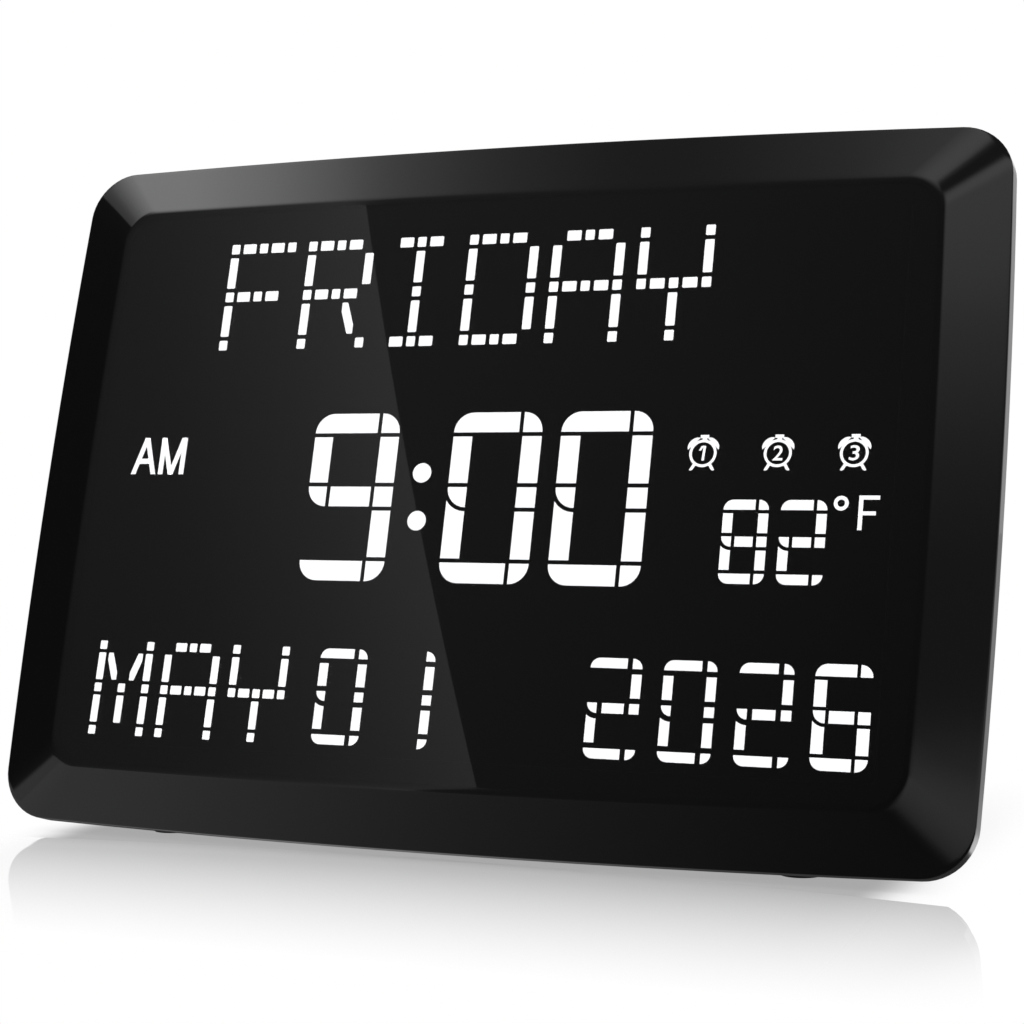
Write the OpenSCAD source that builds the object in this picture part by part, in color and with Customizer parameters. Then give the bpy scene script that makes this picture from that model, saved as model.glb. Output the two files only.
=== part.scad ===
// Dementia day clock: a slim leaning housing with a smoked lens, a lit segment display and a
// folding stand. Millimetres, +Z up, the face looks towards -Y and the origin is on the table.
//
// Every piece is drawn upright first: x to the right, z up from the centre of the face, and y
// back from the rim plane, where the sloping border meets the side wall. placed() then leans it.

/* [Stance] */
// Lean of the face back from the vertical, in degrees
lean = 15.35; // [12:0.05:18]
// Air between the lowest edge of the lens and the table
rim_air = 0.6; // [0.3:0.1:2]

/* [Front] */
// Width of the front at mid height
front_w = 290; // [286:1:320]
// Height of the front at its middle
front_h = 205.2; // [203:0.2:230]
// Radius of the corners of the front
front_r = 13.5; // [11:0.5:20]
// How far the left and right edges bow out
side_bow = 2; // [0.5:0.1:4]
// How far the top and bottom edges bow out
top_bow = 2.3; // [0.5:0.1:4]
// Width of the sloping border at the left and right
slope_side = 17.4; // [14:0.2:19]
// Width of the sloping border at the top and bottom
slope_top = 16.1; // [13:0.2:17.2]
// How far the window stands in front of the rim plane
slope_rise = 4.75; // [3:0.25:6]
// Radius of the corners of the window
window_r = 10; // [7:0.5:14]
// How far the edges of the window bow out
window_bow = 1.4; // [0.5:0.1:3]
// Wall of the lens
lens_wall = 2.4; // [2:0.1:2.8]
// Depth of the side wall of the lens
skirt_depth = 6; // [5:0.5:8]
// Edge break of the rim
rim_edge = 0.6; // [0.2:0.1:1.2]

/* [Display] */
// Black margin of the window at the left and right of the display
margin_side = 9.6; // [9:0.1:12]
// Black margin of the window above and below the display
margin_top = 8.3; // [7.5:0.1:10]
// Depth of the wells
block_depth = 8; // [6:0.5:9]
// Thickness of the printed film
film_t = 0.3; // [0.2:0.05:0.5]
// Thickness of the diffuser sheet
diffuser_t = 0.5; // [0.3:0.1:1]
// Thickness of the adhesive ring
tape_t = 0.4; // [0.2:0.1:0.8]
// Thickness of both circuit boards
board_t = 1.6; // [1:0.2:2]
// Length of one light chip
led_l = 1.6; // [1.2:0.2:2]
// Width of one light chip
led_w = 0.8; // [0.6:0.1:1.2]
// Height of one light chip
led_h = 0.7; // [0.5:0.1:1]

/* [Rear cover] */
// Wall of the rear cover
cover_wall = 2.2; // [1.8:0.1:2.6]
// Distance from the rim plane to the back face
back_y = 25; // [24:0.5:30]
// Distance from the rim plane to where the shoulder starts
shoulder_y = 12; // [10:0.5:14]
// How far the shoulder comes in from the edge of the front
shoulder_in = 10; // [8:0.5:12]
// Edge break round the back face
back_edge = 1; // [0.5:0.25:1.5]
// Radius of the screw posts
post_r = 3.5; // [3:0.1:3.6]
// Radius of the shank of the cover screws
screw_r = 1.25; // [1:0.05:1.5]
// Radius of the head of the cover screws
head_r = 2.6; // [2.2:0.1:2.8]
// Distance of the inner pairs of cover screws from the middle
inner_screw_x = 48; // [42:1:60]

/* [Stand] */
// Opening angle of the stand, in degrees
stand_angle = 27; // [25:0.5:29]
// Height of the hinge from the centre of the face
hinge_z = -4; // [-8:0.5:0]
// Width of the stand at its hinge
leg_top_w = 56; // [48:1:62]
// Width of the stand at its foot
leg_foot_w = 64; // [62:1:70]
// Thickness of the stand
leg_t = 4.5; // [4:0.25:5]
// Skin of the stand over its ribs
leg_skin = 1.8; // [1.4:0.1:2.4]
// Radius of the hinge pin
pin_r = 1.5; // [1.2:0.1:1.7]
// Radius of the hinge barrel
barrel_r = 3.3; // [3:0.1:3.4]
// Depth of the recess for the stand
recess_depth = 7.4; // [7:0.2:8]

/* [Buttons and openings] */
// Distance of the row of buttons below the top edge
button_down = 36.6; // [34:0.1:40]
// Distance from one button to the next
button_pitch = 22; // [16:1:24]
// Radius of a button
button_r = 4.5; // [3.5:0.1:5]
// How far a button stands out of the back
button_proud = 1.2; // [0.6:0.1:2]
// Travel of a button
button_travel = 0.5; // [0.3:0.1:0.6]
// Distance of the keyholes from the middle
keyhole_x = 110; // [108:1:114]
// Distance of the entries of the keyholes below the top edge
keyhole_down = 66.6; // [58:0.1:78]
// Radius of the entry of a keyhole
keyhole_r = 4.25; // [3.75:0.25:4.5]
// Width of the slot of a keyhole
keyhole_slot = 4; // [3:0.25:4]
// Length of the slot of a keyhole, from the centre of its entry
keyhole_rise = 10; // [8:0.5:12]
// Radius of the backup cell
cell_r = 10; // [8:0.5:10]
// Thickness of the backup cell
cell_t = 3.2; // [2:0.2:3.2]
// Width of the battery door
door_w = 31.4; // [28:0.2:34]
// Radius of the hole of the power socket
socket_r = 2.9; // [2.5:0.1:3.2]
// Radius of the pin of the power socket
socket_pin_r = 1; // [0.6:0.1:1.25]
// Radius of the speaker grille
grille_r = 8; // [6:0.5:9]

/* [Feet] */
// Distance of the rubber feet from the middle
foot_x = 95; // [70:1:105]
// Radius of a rubber foot
foot_r = 5.5; // [4.5:0.25:6]
// Thickness of the rubber under the feet and the stand
rubber_t = 2; // [1.6:0.1:2.4]

/* [Hidden] */

// Fits and small shared sizes
fit = 0.15;          // lens over the rear cover
loose = 0.3;         // pieces that drop into an opening
hinge_fit = 0.12;    // hinge barrel on its pin
thread_fit = 0.05;   // screw shank in its hole
thin = 0.01;         // thickness of an outline used as one end of a loft
board_fit = 0.2;     // screw shank in a board, and a screw head or foot in its seat
seam = 0.2;          // faces that end short of each other
eps = 0.1;           // how far a cut runs past the face that it opens
round_fn = 48;
corner_steps = 9;
side_steps = 6;

// Stations behind the rim plane, front to back
window_y = -slope_rise;
window_back = window_y + lens_wall;
frame_front = window_back + tape_t;
flange_front = lens_wall - 1;
flange_t = 2;
flange_back = flange_front + flange_t;
diffuser_front = window_back + film_t;
block_front = diffuser_front + diffuser_t;
led_board_front = block_front + block_depth;
led_board_back = led_board_front + board_t;
post_stand = 2.3;    // posts behind the light board
tube_floor = 2.5;    // floor of the screw tubes, under the heads
switch_h = 3.5;
board_gap = 7.8;     // control board to the inside of the cover
post_end = led_board_back + post_stand;
tube_front = post_end + seam;
head_seat = tube_front + tube_floor;
cover_inside = back_y - cover_wall;
control_back = cover_inside - board_gap;
control_front = control_back - board_t;
tongue_front = flange_front + 0.8;
tongue_in = lens_wall + fit;
cover_in = tongue_in + cover_wall;
flange_in = cover_in + loose + fit;

// Half sizes of the window, and the block of segments in it
window_half_w = front_w / 2 - slope_side;
window_half_h = front_h / 2 - slope_top;
block_w = 2 * (window_half_w - margin_side);
block_h = 2 * (window_half_h - margin_top);
frame_open_w = block_w + 2 * loose;
frame_open_h = block_h + 2 * loose;
tape_in = 1.2;       // edge of the adhesive ring inside the edge of the window
frame_in = 0.8;      // edge of the raised frame inside the edge of the window

// The light board, its screws and its drivers
led_board_side = 6.2;
led_board_top = 2;
led_board_r = 4;
led_board_w = block_w + 2 * led_board_side;
led_board_h = block_h + 2 * led_board_top;
led_post_r = 2.6;
led_screw_x = led_board_w / 2 - 3;
led_screw_pitch = 50;
driver = [18, 7.5, 1.6];
driver_pitch = [80, 44];

// Cover screws: posts in the frame, tubes in the cover
post_x = window_half_w - 2.6;
post_z = window_half_h - 2.5;
tube_wall = 0.7;
head_t = 1.8;
head_play = 0.5;
drive_l = 3;         // cross slot of the head
drive_w = 0.7;
drive_deep = 0.9;
cover_screw_l = 9;

// The small screws of both boards
small_screw_r = 1;
small_head_r = 2;
small_head_t = 1.4;
small_bite = 3.8;    // how far they reach past their board

// The control board
control_w = 200;
control_bottom = 14;
control_r = 3;
button_z = front_h / 2 - button_down;
control_top = button_z + 10;
control_post_r = 3;
post_in = 6;
control_post_x = control_w / 2 - post_in;
control_post_low = control_bottom + post_in;
control_post_high = control_top - post_in;

// What stands on it, as places [x, z] and sizes
cell_place = [20 - control_post_x, control_bottom + 24];
socket_place = [control_post_x - 14, control_bottom + 8];
buzzer_place = [control_post_x - 20, control_bottom + 30];
processor_place = [control_w * 0.12, control_bottom + 24];
crystal_place = processor_place + [16, 0];
capacitor_place = socket_place + [-18, 2];
sensor_place = buzzer_place + [-16, 4];
header_place = [0, control_bottom + 32];
header = [40, 5];
processor_w = 12;
processor_t = 1.6;
lead_l = 1.4;        // one lead of the processor
lead_w = 0.4;
lead_t = 0.5;
lead_pitch = 1;
leads = 11;
crystal_size = [4.6, 10.8, 3.4];
capacitor_r = 3.2;
capacitor_h = 6.6;
sensor_r = 2.3;
sensor_h = 4.6;
buzzer_r = 6;
buzzer_h = 6.5;
buzzer_hole_r = 1.2;
switch_w = 6.2;
socket_body = 11;
socket_rim_r = 4.4;
socket_set = 0.6;    // front of the socket below the back face
socket_floor = 1;

// The holder of the cell
holder_wall = 1.6;
holder_base = 1;
holder_floor = control_back + holder_base;
contact_t = 0.25;
contact_w = 4;
clip_w = 6;
clip_t = 0.5;
notch_w = 9;
cell_front = holder_floor + contact_t;

// The stand
recess_floor = back_y - recess_depth;
hinge_y = recess_floor + barrel_r + 0.5;
leg_out = back_y - seam - hinge_y;
leg_in = leg_out - leg_t;
heel = 5;
heel_gap = 0.05;     // heel to the floor of the recess, with the stand open
recess_top = hinge_z + heel + 1.5;
recess_wall = 2;
leg_side = 0.6;
pin_block = 6;
pin_block_h = 10;

// Where the leaned clock stands: heights above the table and distance from the origin
rim_height = front_h / 2 * cos(lean) + skirt_depth * sin(lean) + rim_air;
nearest = window_y * cos(lean) - window_half_h * sin(lean);
farthest = back_y * cos(lean) + (front_h / 2 - shoulder_in - back_edge) * sin(lean);
shift_y = -(nearest + farthest) / 2;
hinge_up = rim_height - hinge_y * sin(lean) + hinge_z * cos(lean);
hinge_back = shift_y + hinge_y * cos(lean) + hinge_z * sin(lean);
leg_tilt = stand_angle - lean;
leg_mid = (leg_in + leg_out) / 2;
leg_l = (hinge_up + leg_mid * sin(leg_tilt)) / cos(leg_tilt);
leg_foot_y = hinge_back + leg_l * sin(leg_tilt) + leg_mid * cos(leg_tilt);
strip_in = 3;        // rubber strip inside the ends of the stand
strip_edge = 0.2;

// The lugs that hold the rubber feet, on the lower shoulder
lug_wall = 1.5;
lug_sink = 0.8;
lug_h = 5;
lug_r = foot_r + lug_wall;
lug_bottom = rubber_t - lug_sink;
foot_back = 5;       // behind the start of the shoulder
shoulder_share = 0.4; // how far in the shoulder has come there
foot_y = shift_y + (shoulder_y + foot_back) * cos(lean)
    - (front_h / 2 - tongue_in - (shoulder_in - tongue_in) * shoulder_share) * sin(lean);

// The display, drawn for a block of this size and fitted to the real one
drawn_w = 236;
drawn_h = 156.4;
fitted = min(block_w / drawn_w, block_h / drawn_h);
// A character of the dot-and-bar rows is five columns by five rows: dots and bars by turns,
// [dot width, bar width, dot height, bar height, gap]
day_cell = fitted * [2.85, 4.35, 3.15, 9.75, 1.1];
month_cell = fitted * [2.4, 3.6, 2.6, 8.05, 0.94];
day_place = fitted * [-114.4, 40.5];
day_pitch = fitted * 26.07;
day_cells = 9;
month_place = fitted * [-114.4, -75.8];
month_pitch = fitted * 22.25;
month_cells = 3;
// A numeral is [width, height, stroke, gap]
time_digit = fitted * [26.8, 49.2, 5.8, 1.2];
date_digit = fitted * [14.65, 27.1, 2.75, 1.5];
last_digit = fitted * [15.1, 27.6, 3.25, 1];
warm_digit = fitted * [12.5, 22.9, 2.75, 1];
time_lefts = fitted * [-84.7, -52.2, -8.4, 24.1];
time_bottom = fitted * -28.8;
colon_r = fitted * 2.85;
colon_x = fitted * -16.9;
colon_zs = fitted * [2.8, -11.1];
date_lefts = fitted * [-41.7, -20.95, 39.35, 60.1, 80.85];
date_bottom = fitted * -75.4;
last_place = fitted * [101.1, -75.5];
warm_lefts = fitted * [72.7, 88.5];
warm_bottom = fitted * -27.4;
// Symbols lit as a whole: [centre x, centre z, width, height]
symbols = fitted * [
    [-103.5, 7.9, 18.2, 11.2], [-103.5, -8.6, 18.2, 11.2],
    [65.8, 8.6, 9.4, 9.8], [86.6, 8.6, 9.4, 9.8], [107.3, 8.6, 9.4, 9.8],
    [104.6, -5.3, 4, 4], [112, -7.9, 5.5, 9.3], [112, -20.5, 5.5, 9.3]
];

function total(v, n) = n <= 0 ? 0 : v[n - 1] + total(v, n - 1);

// Widths and left edges of five columns or rows that are dots and bars by turns
function spans(dot, bar) = [dot, bar, dot, bar, dot];
function span_start(dot, bar, gap, i) = total(spans(dot, bar), i) + i * gap;

// A rounded rectangle with points along its sides, then bowed outwards on all four
function rounded_points(a, b, r) = [for (q = [0:3])
    let (sx = [1, -1, -1, 1], sz = [1, 1, -1, -1], m = (q + 1) % 4,
         turn = [cos(90 * (q + 1)), sin(90 * (q + 1))],
         here = [sx[q] * (a - r), sz[q] * (b - r)], next = [sx[m] * (a - r), sz[m] * (b - r)])
    each concat(
        [for (k = [0:corner_steps])
            here + r * [cos(90 * (q + k / corner_steps)), sin(90 * (q + k / corner_steps))]],
        [for (k = [1:side_steps - 1]) here + r * turn + (next - here) * k / side_steps])];

function bowed_points(half_w, half_h, r, bow_w, bow_h) =
    let (a = half_w - bow_w, b = half_h - bow_h)
    [for (p = rounded_points(a, b, r))
        [p.x * (1 + bow_w / a * (1 - pow(p.y / b, 2))), p.y * (1 + bow_h / b * (1 - pow(p.x / a, 2)))]];

// The outline of the front, drawn in by inset
module front_outline(inset) polygon(bowed_points(front_w / 2 - inset, front_h / 2 - inset,
    max(front_r - inset, 1.5), side_bow, top_bow));

// The outline of the raised window, drawn in by inset
module window_outline(inset) polygon(bowed_points(window_half_w - inset, window_half_h - inset,
    window_r - inset, window_bow, window_bow));

// A flat shape given real depth, from y0 back to y1
module slab(y0, y1) translate([0, y1, 0]) rotate([90, 0, 0]) linear_extrude(y1 - y0) children();

// A round bar along y
module bar(x, z, y0, y1, r) translate([x, y1, z]) rotate([90, 0, 0])
    cylinder(r = r, h = y1 - y0, $fn = round_fn);

// A block along y, centred on x and z
module block(x, z, w, h, y0, y1) translate([x - w / 2, y0, z - h / 2]) cube([w, y1 - y0, h]);

module placed() translate([0, shift_y, rim_height]) rotate([-lean, 0, 0]) children();

module at_hinge() translate([0, hinge_y, hinge_z]) children();

module mirrored() {
    children();
    mirror([1, 0, 0]) children();
}

module round_rect(w, h, r) {
    square([w - 2 * r, h], center = true);
    square([w, h - 2 * r], center = true);
    for (x = [-1, 1], z = [-1, 1])
        translate([x * (w / 2 - r), z * (h / 2 - r)]) circle(r = r, $fn = round_fn);
}

// ---- segments ----

// Strokes of a dot-and-bar character: dots, level bars and upright bars, and four slanted bars
module cell_segments(c) {
    for (i = [0:4], j = [0:4]) {
        w = spans(c[0], c[1])[i];
        h = spans(c[2], c[3])[j];
        x = span_start(c[0], c[1], c[4], i);
        z = span_start(c[2], c[3], c[4], j);
        if (i % 2 == 0 || j % 2 == 0) translate([x, z]) square([w, h]);
        else translate([x, z]) polygon(i == j
            ? [[0, 0], [w * 0.6, 0], [w, h], [w * 0.4, h]]
            : [[w * 0.4, 0], [w, 0], [w * 0.6, h], [0, h]]);
    }
}

// Strokes of a numeral, with round outer corners and a round shoulder at the left of its waist
module digit_segments(d) {
    w = d[0];
    h = d[1];
    s = d[2];
    g = d[3];
    waist = (h - s) / 2;
    bar_w = w - s - g;
    upright = waist - s - 2 * g;
    for (up = [0, 1]) {
        z = up * (h - s);
        // long bar with one round end, and the quarter round that closes the corner
        intersection() {
            translate([0, z]) square([bar_w, s]);
            union() {
                translate([s, z]) square([bar_w, s]);
                translate([s, z + (1 - up) * s]) circle(r = s, $fn = round_fn);
            }
        }
        intersection() {
            translate([w - s, z]) square([s, s]);
            translate([w - s, z + (1 - up) * s]) circle(r = s, $fn = round_fn);
        }
        translate([w - s, up * (waist + s + g) + (1 - up) * (s + g)]) square([s, upright]);
    }
    translate([0, waist + s + g]) square([s, upright]);
    translate([s + g, waist]) square([w - 2 * s - 2 * g, s]);
    translate([w - s, waist]) square([s, s]);
    intersection() {
        translate([0, waist]) square([s, s]);
        translate([s, waist + s]) circle(r = s, $fn = round_fn);
    }
    difference() {
        translate([0, s + g]) square([s, waist - g]);
        translate([s, waist + s]) circle(r = s + g, $fn = round_fn);
    }
}

module all_segments() {
    for (i = [0:day_cells - 1]) translate(day_place + [i * day_pitch, 0]) cell_segments(day_cell);
    for (i = [0:month_cells - 1]) translate(month_place + [i * month_pitch, 0])
        cell_segments(month_cell);
    for (x = time_lefts) translate([x, time_bottom]) digit_segments(time_digit);
    for (z = colon_zs) translate([colon_x, z]) circle(r = colon_r, $fn = round_fn);
    for (x = date_lefts) translate([x, date_bottom]) digit_segments(date_digit);
    translate(last_place) digit_segments(last_digit);
    for (x = warm_lefts) translate([x, warm_bottom]) digit_segments(warm_digit);
    for (s = symbols) translate([s[0], s[1]]) square([s[2], s[3]], center = true);
}

// ---- front ----

module front_lens() color("#17181a") placed() difference() {
    hull() {
        slab(window_y, window_y + thin) window_outline(0);
        slab(-rim_edge * slope_rise / slope_side, 0) front_outline(rim_edge);
        slab(rim_edge, skirt_depth) front_outline(0);
    }
    hull() {
        slab(window_back, window_back + thin) window_outline(0);
        slab(lens_wall * (1 - slope_rise / slope_side), skirt_depth + eps) front_outline(lens_wall);
    }
}

module frame_opening() square([frame_open_w, frame_open_h], center = true);

module lens_tape() color("#d8d8d0") placed() slab(window_back, frame_front) difference() {
    window_outline(tape_in);
    frame_opening();
}

module at_posts() for (x = [-post_x, -inner_screw_x, inner_screw_x, post_x], z = [-post_z, post_z])
    translate([x, 0, z]) children();

module at_led_screws() for (x = [-led_screw_x, led_screw_x], k = [-1:1])
    translate([x, 0, k * led_screw_pitch]) children();

module inner_frame() color("#2a2a2d") placed() difference() {
    union() {
        slab(frame_front, flange_back) window_outline(frame_in);
        slab(flange_front, flange_back) front_outline(flange_in);
        at_posts() bar(0, 0, flange_back - eps, post_end, post_r);
        at_led_screws() bar(0, 0, flange_back - eps, led_board_front, led_post_r);
    }
    slab(frame_front - eps, flange_back + eps) frame_opening();
    at_posts() bar(0, 0, flange_front + 1, post_end + eps, screw_r + thread_fit);
    at_led_screws() bar(0, 0, flange_front + 1, led_board_front + eps, small_screw_r + thread_fit);
}

module display_film() color("#0a0a0b") placed()
    block(0, 0, block_w, block_h, window_back, diffuser_front);

module diffuser_sheet() color("#f2f2ee") placed()
    block(0, 0, block_w, block_h, diffuser_front, block_front);

module segment_reflector() color("#e9e9e6") placed() slab(block_front, led_board_front)
    difference() {
        square([block_w, block_h], center = true);
        all_segments();
    }

module led_board() color("#1d4a2c") placed() difference() {
    slab(led_board_front, led_board_back) round_rect(led_board_w, led_board_h,
        led_board_r);
    at_led_screws() bar(0, 0, led_board_front - eps, led_board_back + eps,
        small_screw_r + board_fit);
}

module led_chip(x, z) block(x, z, led_l, led_w, led_board_front - led_h, led_board_front);

// One chip under every stroke of a numeral
module digit_leds(place, d) {
    w = d[0];
    h = d[1];
    s = d[2];
    g = d[3];
    mid_x = place.x + (w - s - g) / 2;
    left = place.x + s / 2;
    right = place.x + w - s / 2;
    for (z = [s / 2, h - s / 2]) {
        led_chip(mid_x, place.y + z);
        led_chip(right - s / 8, place.y + z);
    }
    for (z = [h / 4 + s / 4, h * 3 / 4 - s / 4], x = [left, right]) led_chip(x, place.y + z);
    for (x = [left + s / 8, place.x + w / 2, right]) led_chip(x, place.y + h / 2);
}

module cell_leds(place, c) for (i = [0:4], j = [0:4])
    led_chip(place.x + span_start(c[0], c[1], c[4], i) + spans(c[0], c[1])[i] / 2,
        place.y + span_start(c[2], c[3], c[4], j) + spans(c[2], c[3])[j] / 2);

module leds() color("#f4e36a") placed() {
    for (i = [0:day_cells - 1]) cell_leds(day_place + [i * day_pitch, 0], day_cell);
    for (i = [0:month_cells - 1]) cell_leds(month_place + [i * month_pitch, 0], month_cell);
    for (x = time_lefts) digit_leds([x, time_bottom], time_digit);
    for (z = colon_zs) led_chip(colon_x, z);
    for (x = date_lefts) digit_leds([x, date_bottom], date_digit);
    digit_leds(last_place, last_digit);
    for (x = warm_lefts) digit_leds([x, warm_bottom], warm_digit);
    for (s = symbols) led_chip(s[0], s[1]);
}

module driver_chips() color("#202022") placed()
    for (i = [-1:1], s = [-1, 1]) block(i * driver_pitch.x, s * driver_pitch.y / 2, driver.x,
        driver.y, led_board_back, led_board_back + driver.z);

module small_screw(seat, length) {
    bar(0, 0, seat, seat + small_head_t, small_head_r);
    bar(0, 0, seat - length, seat + eps, small_screw_r);
}

module led_board_screws() color("#b9bcc0") placed()
    at_led_screws() small_screw(led_board_back, board_t + small_bite);

// ---- electronics on the control board ----

module board_header() color("#18181a") placed()
    block(header_place.x, header_place.y, header.x, header.y, led_board_back, control_front);

module at_control_posts() {
    for (x = [-control_post_x, control_post_x], z = [control_post_low, control_post_high])
        translate([x, 0, z]) children();
    translate([0, 0, control_post_low]) children();
}

module control_board() color("#1d4a2c") placed() difference() {
    slab(control_front, control_back) translate([0, (control_top + control_bottom) / 2])
        round_rect(control_w, control_top - control_bottom, control_r);
    at_control_posts() bar(0, 0, control_front - eps, control_back + eps,
        small_screw_r + board_fit);
}

module control_board_screws() color("#b9bcc0") placed() at_control_posts() {
    bar(0, 0, control_front - small_head_t, control_front, small_head_r);
    bar(0, 0, control_front - eps, control_back + small_bite, small_screw_r);
}

module microcontroller() color("#202022") placed() translate([processor_place.x, 0, processor_place.y]) {
    block(0, 0, processor_w, processor_w, control_back + seam, control_back + processor_t);
    reach = processor_w / 2 + (lead_l - seam) / 2;
    for (i = [0:leads - 1], s = [-1, 1]) {
        along = (i - (leads - 1) / 2) * lead_pitch;
        block(along, s * reach, lead_w, lead_l, control_back, control_back + lead_t);
        block(s * reach, along, lead_l, lead_w, control_back, control_back + lead_t);
    }
}

module crystal() color("#c3c5c8") placed() slab(control_back, control_back + crystal_size.z)
    translate(crystal_place) round_rect(crystal_size.x, crystal_size.y, crystal_size.x / 2 - eps);

module capacitor() color("#2b3350") placed() bar(capacitor_place.x, capacitor_place.y,
    control_back, control_back + capacitor_h, capacitor_r);

module buzzer() color("#141416") placed() translate([buzzer_place.x, 0, buzzer_place.y]) difference() {
    bar(0, 0, control_back, control_back + buzzer_h, buzzer_r);
    bar(0, 0, control_back + buzzer_h - 1, control_back + buzzer_h + eps, buzzer_hole_r);
}

// Round back and one flat side
module temperature_sensor() color("#1b1b1d") placed() translate([sensor_place.x, 0, sensor_place.y])
    difference() {
        bar(0, 0, control_back, control_back + sensor_h, sensor_r);
        block(0, -sensor_r - 0.1, 3 * sensor_r, sensor_r + 0.1, control_back - eps,
            control_back + sensor_h + eps);
    }

module at_cell() translate([cell_place.x, 0, cell_place.y]) children();

module cell_holder() color("#1f1f22") placed() at_cell() difference() {
    bar(0, 0, control_back, cell_front + cell_t * 0.7, cell_r + holder_wall);
    bar(0, 0, holder_floor, cell_front + cell_t + eps, cell_r + loose);
    block(0, -cell_r, notch_w, clip_w, holder_floor, cell_front + cell_t + eps);
}

module cell_contacts() color("#cfd1d3") placed() at_cell() {
    block(0, 0, contact_w, cell_r * 1.6, holder_floor, cell_front);
    block(0, -cell_r - loose - clip_t, clip_w, clip_t, holder_floor, cell_front + cell_t);
}

// A smaller face inwards and the wide can outwards
module coin_cell() color("#c9cacc") placed() at_cell() {
    bar(0, 0, cell_front, cell_front + cell_t / 4, cell_r * 0.9);
    bar(0, 0, cell_front + cell_t / 4, cell_front + cell_t, cell_r);
}

socket_front = back_y - socket_set;

module at_socket() translate([socket_place.x, 0, socket_place.y]) children();

module power_socket() color("#161618") placed() at_socket() difference() {
    union() {
        block(0, 0, socket_body, socket_body, control_back, cover_inside - loose);
        bar(0, 0, cover_inside - loose - seam, socket_front, socket_rim_r);
    }
    bar(0, 0, control_back + socket_floor, socket_front + eps, socket_r);
}

module socket_pin() color("#d6d7d9") placed() at_socket()
    bar(0, 0, control_back + socket_floor, socket_front - socket_floor, socket_pin_r);

// ---- buttons ----

// From left to right as seen from the front: set, up, down, alarm, dimmer, sound
buttons = 6;
function button_x(i) = (i - (buttons - 1) / 2) * button_pitch;
plunger_r = 1.7;
plunger_well = 2;
switch_top = control_back + switch_h;
plunger_top = switch_top + 0.5;
flange_gap = 0.1;
button_flange = 1.1;
button_flange_t = 1.2;
dish_deep = 0.5;
dish_r = 3 * button_r;

module tact_switches() color("#c8cacc") placed() difference() {
    for (i = [0:buttons - 1])
        block(button_x(i), button_z, switch_w, switch_w, control_back, switch_top);
    for (i = [0:buttons - 1])
        bar(button_x(i), button_z, plunger_top - plunger_well, switch_top + eps, plunger_r + loose);
}

module plunger(i) color("#111113") placed()
    bar(button_x(i), button_z, plunger_top - plunger_well + button_travel + seam, plunger_top,
        plunger_r);

// Round cap with a flange that keeps it behind the wall, and a stem that meets its switch
module button(i) color("#26262a") placed() difference() {
    union() {
        bar(button_x(i), button_z, cover_inside - flange_gap - eps, back_y + button_proud, button_r);
        bar(button_x(i), button_z, cover_inside - flange_gap - button_flange_t,
            cover_inside - flange_gap, button_r + button_flange);
        bar(button_x(i), button_z, plunger_top, cover_inside - flange_gap - button_flange_t + eps,
            plunger_r);
    }
    // shallow dish for the fingertip
    translate([button_x(i), back_y + button_proud + dish_r - dish_deep, button_z])
        sphere(r = dish_r, $fn = round_fn * 2);
}

// ---- rear cover ----

module cover_outer() {
    slab(tongue_front, shoulder_y) front_outline(tongue_in);
    hull() {
        slab(shoulder_y - thin, shoulder_y) front_outline(tongue_in);
        slab(back_y - back_edge - thin, back_y - back_edge) front_outline(shoulder_in);
        slab(back_y - thin, back_y) front_outline(shoulder_in + back_edge);
    }
}

slant = 0.85;        // share of the wall that the slanted shoulder takes sideways

module cover_inner() {
    slab(tongue_front - eps, shoulder_y) front_outline(cover_in);
    hull() {
        slab(shoulder_y - thin, shoulder_y) front_outline(cover_in);
        slab(cover_inside - thin, cover_inside) front_outline(shoulder_in + cover_wall * slant);
    }
}

// The recess that the stand folds into: the shape of the stand with room round it
module recess_shape(grow) polygon([
    [-leg_top_w / 2 - leg_side - grow, recess_top + grow],
    [leg_top_w / 2 + leg_side + grow, recess_top + grow],
    [leg_foot_w / 2 + leg_side + grow, hinge_z - leg_l],
    [leg_foot_w / 2 + leg_side + grow, -front_h],
    [-leg_foot_w / 2 - leg_side - grow, -front_h],
    [-leg_foot_w / 2 - leg_side - grow, hinge_z - leg_l]
]);

// Blocks beside the recess that hold the ends of the hinge pin
module pin_blocks() mirrored() translate([leg_top_w / 2 + leg_side - eps, 0, 0])
    translate([0, recess_floor - recess_wall, hinge_z - pin_block_h / 2])
        cube([pin_block + recess_wall, cover_inside - recess_floor + recess_wall + eps, pin_block_h]);

keyhole_z = front_h / 2 - keyhole_down;
pocket_deep = 4.5;
pocket_wall = 1.5;
pocket_play = 1.25;  // pocket round the head of the wall screw

module keyhole() {
    circle(r = keyhole_r, $fn = round_fn);
    translate([-keyhole_slot / 2, 0]) square([keyhole_slot, keyhole_rise]);
    translate([0, keyhole_rise]) circle(d = keyhole_slot, $fn = round_fn);
}

// Closed pocket behind a keyhole, so that a screw head can't reach the electronics
module keyhole_pocket(grow, y0) block(keyhole_x, keyhole_z + keyhole_rise / 2,
    2 * (keyhole_r + pocket_play + grow), keyhole_rise + 2 * (keyhole_r + pocket_play + grow), y0,
    cover_inside + eps);

door_r = 3;

module door_opening(inset, y0, y1) slab(y0, y1) translate(cell_place)
    round_rect(door_w - 2 * inset, door_w - 2 * inset, door_r);

door_plate = 1.2;
door_seat = 0.1;
door_lip = 2;
notch = [12, 3.4];   // thumb notch of the door
notch_deep = 0.5;
notch_down = 4;
grille_slots = 5;
grille_pitch = 3;
grille_slot = 1.4;

module foot_lugs() mirrored() translate([foot_x, foot_y, lug_bottom])
    cylinder(r = lug_r, h = lug_h, $fn = round_fn);

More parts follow.
